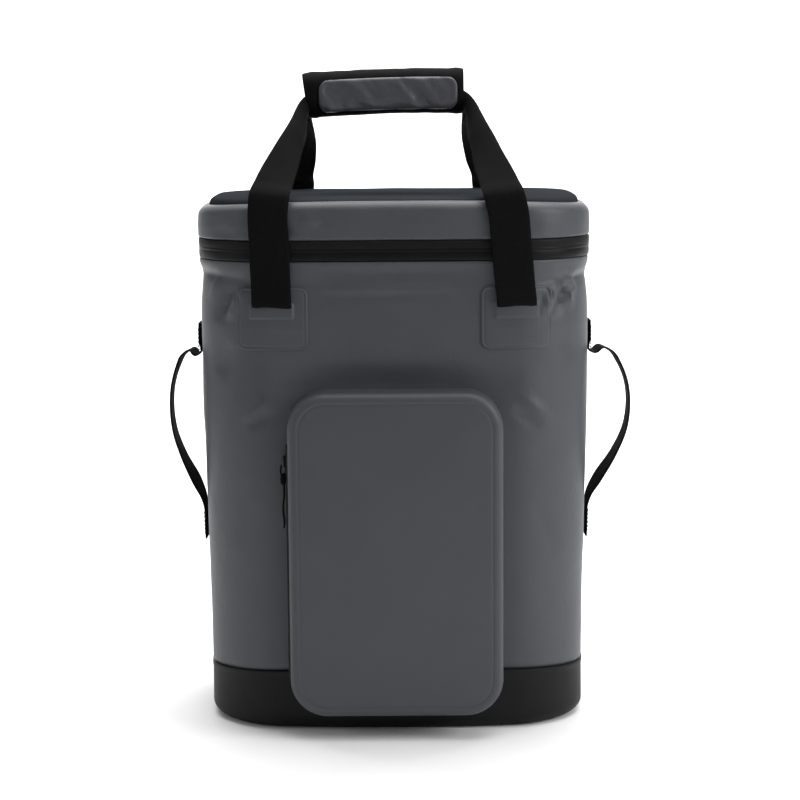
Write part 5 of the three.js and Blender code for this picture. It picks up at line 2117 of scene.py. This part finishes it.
@dataclass
class Studio:
    """A pale paper sweep, soft light from all round, and the camera."""

    finishes: Finishes
    camera_place: Triple = (4.0, -1732.6, 513.8)
    camera_pitch: float = 8.41
    camera_roll: float = -0.43
    camera_lens: float = 93.15
    sensor: float = 36.0
    sweep_width: float = 9000.0
    sweep_front: float = -3200.0
    sweep_rear: float = 2600.0
    sweep_round: float = 1200.0
    sweep_height: float = 4200.0
    sky: float = 0.24
    lights: tuple[Softbox, ...] = (
        Softbox("top_light", (150, 100, 1700), (1700, 1300), 26.0, (0, -20, 300)),
        Softbox("right_light", (1700, -900, 1100), (900, 1300), 26.0),
        Softbox("left_light", (-1800, -700, 900), (900, 1300), 4.5),
        Softbox("rear_light", (0, 2200, 1500), (2000, 1200), 5.0, (0, 0, 250)),
        Softbox("backdrop_light", (0, 900, 2600), (4000, 900), 210.0, (0, 3600, 700)),
    )

    def build(self) -> None:
        """Builds the camera, the paper and the lights."""
        self.camera()
        self.paper()
        self.world()
        for light in self.lights:
            light.build()
        bpy.context.scene.view_settings.view_transform = "Standard"

    def camera(self) -> None:
        """Makes the camera at the photograph's place and angle."""
        data = bpy.data.cameras.new("camera")
        data.lens, data.sensor_width, data.clip_end = self.camera_lens, self.sensor, 100.0
        made = bpy.data.objects.new("camera", data)
        pitch = Matrix.Rotation(math.radians(90 - self.camera_pitch), 4, "X")
        roll = Matrix.Rotation(math.radians(self.camera_roll), 4, "Z")
        made.matrix_world = Matrix.Translation(Vector(self.camera_place) * MM) @ pitch @ roll
        bpy.context.scene.collection.objects.link(made)
        bpy.context.scene.camera = made

    def paper(self) -> None:
        """Makes the floor and backdrop in one sweep."""
        profile = [(self.sweep_front, 0.0), (0.0, 0.0)]
        profile += [(self.sweep_rear + self.sweep_round * math.sin(angle),
                     self.sweep_round * (1 - math.cos(angle)))
                    for angle in np.linspace(0, QUARTER_TURN, 16)]
        profile += [(self.sweep_rear + self.sweep_round, self.sweep_height)]
        half = self.sweep_width / 2
        grid = np.array([[[side * half, y, z] for y, z in profile] for side in (-1, 1)])
        made = Shape().add_grid(grid, flip=True).make("paper_sweep", self.finishes.paper)

    def world(self) -> None:
        """Makes an even white surround."""
        world = bpy.data.worlds.new("studio")
        bpy.context.scene.world = world
        world.use_nodes = True
        background = world.node_tree.nodes["Background"]
        background.inputs["Color"].default_value = (1.0, 1.0, 1.0, 1.0)
        background.inputs["Strength"].default_value = self.sky


BAG_FOLDS = (
    Fold((-205, 372), (-112, 367), 4.0, -3.2, 2.0),
    Fold((112, 367), (205, 372), 4.0, -3.2, -2.0),
    Fold((-136, 336), (-118, 368), 4.0, 4.6),
    Fold((-148, 334), (-130, 366), 4.6, -4.4),
    Fold((-160, 350), (-140, 376), 4.5, 2.2),
    Fold((118, 338), (134, 370), 4.0, 3.8),
    Fold((130, 336), (147, 368), 4.4, -4.2),
    Fold((143, 342), (153, 376), 4.2, 3.2),
    Fold((-66, 374), (72, 374), 7.0, -2.2),
    Fold((-68, 362), (66, 362), 2.6, 1.5),
    Fold((-60, 355), (20, 354), 3.6, -1.1),
    Fold((-124, 254), (-100, 276), 4.5, 2.2),
    Fold((-118, 250), (-96, 266), 5.0, -1.8),
    Fold((100, 276), (128, 252), 4.5, 2.4),
    Fold((94, 266), (120, 246), 5.0, -1.8),
    Fold((-104, 287), (104, 287), 15.0, -4.8),
    Fold((-74, 418), (-58, 414), 4.0, 1.2),
    Fold((-96, 404), (-80, 410), 5.0, -1.4),
    Fold((-150, 408), (-128, 404), 6.0, -1.3),
    Fold((96, 406), (118, 411), 5.0, -1.2),
    Fold((128, 330), (150, 300), 9.0, -1.5),
    Fold((-150, 290), (-132, 318), 9.0, -1.5),
    Fold((-130, 150), (-112, 190), 8.0, -1.2),
    Fold((112, 190), (134, 140), 8.0, -1.2),
)


def main() -> None:
    """Builds the studio and every sub-assembly."""
    logging.basicConfig(level=logging.INFO, format="%(message)s")
    finishes = Finishes()
    Studio(finishes).build()
    form = BagForm(folds=BAG_FOLDS)
    flat_form = BagForm()
    Bag(form, finishes).build()
    Pocket(flat_form, finishes).build()
    CarryHandle(form, finishes).build()
    SideHandles(flat_form, finishes).build()
    Back(flat_form, finishes).build()


if __name__ == "__main__":
    main()
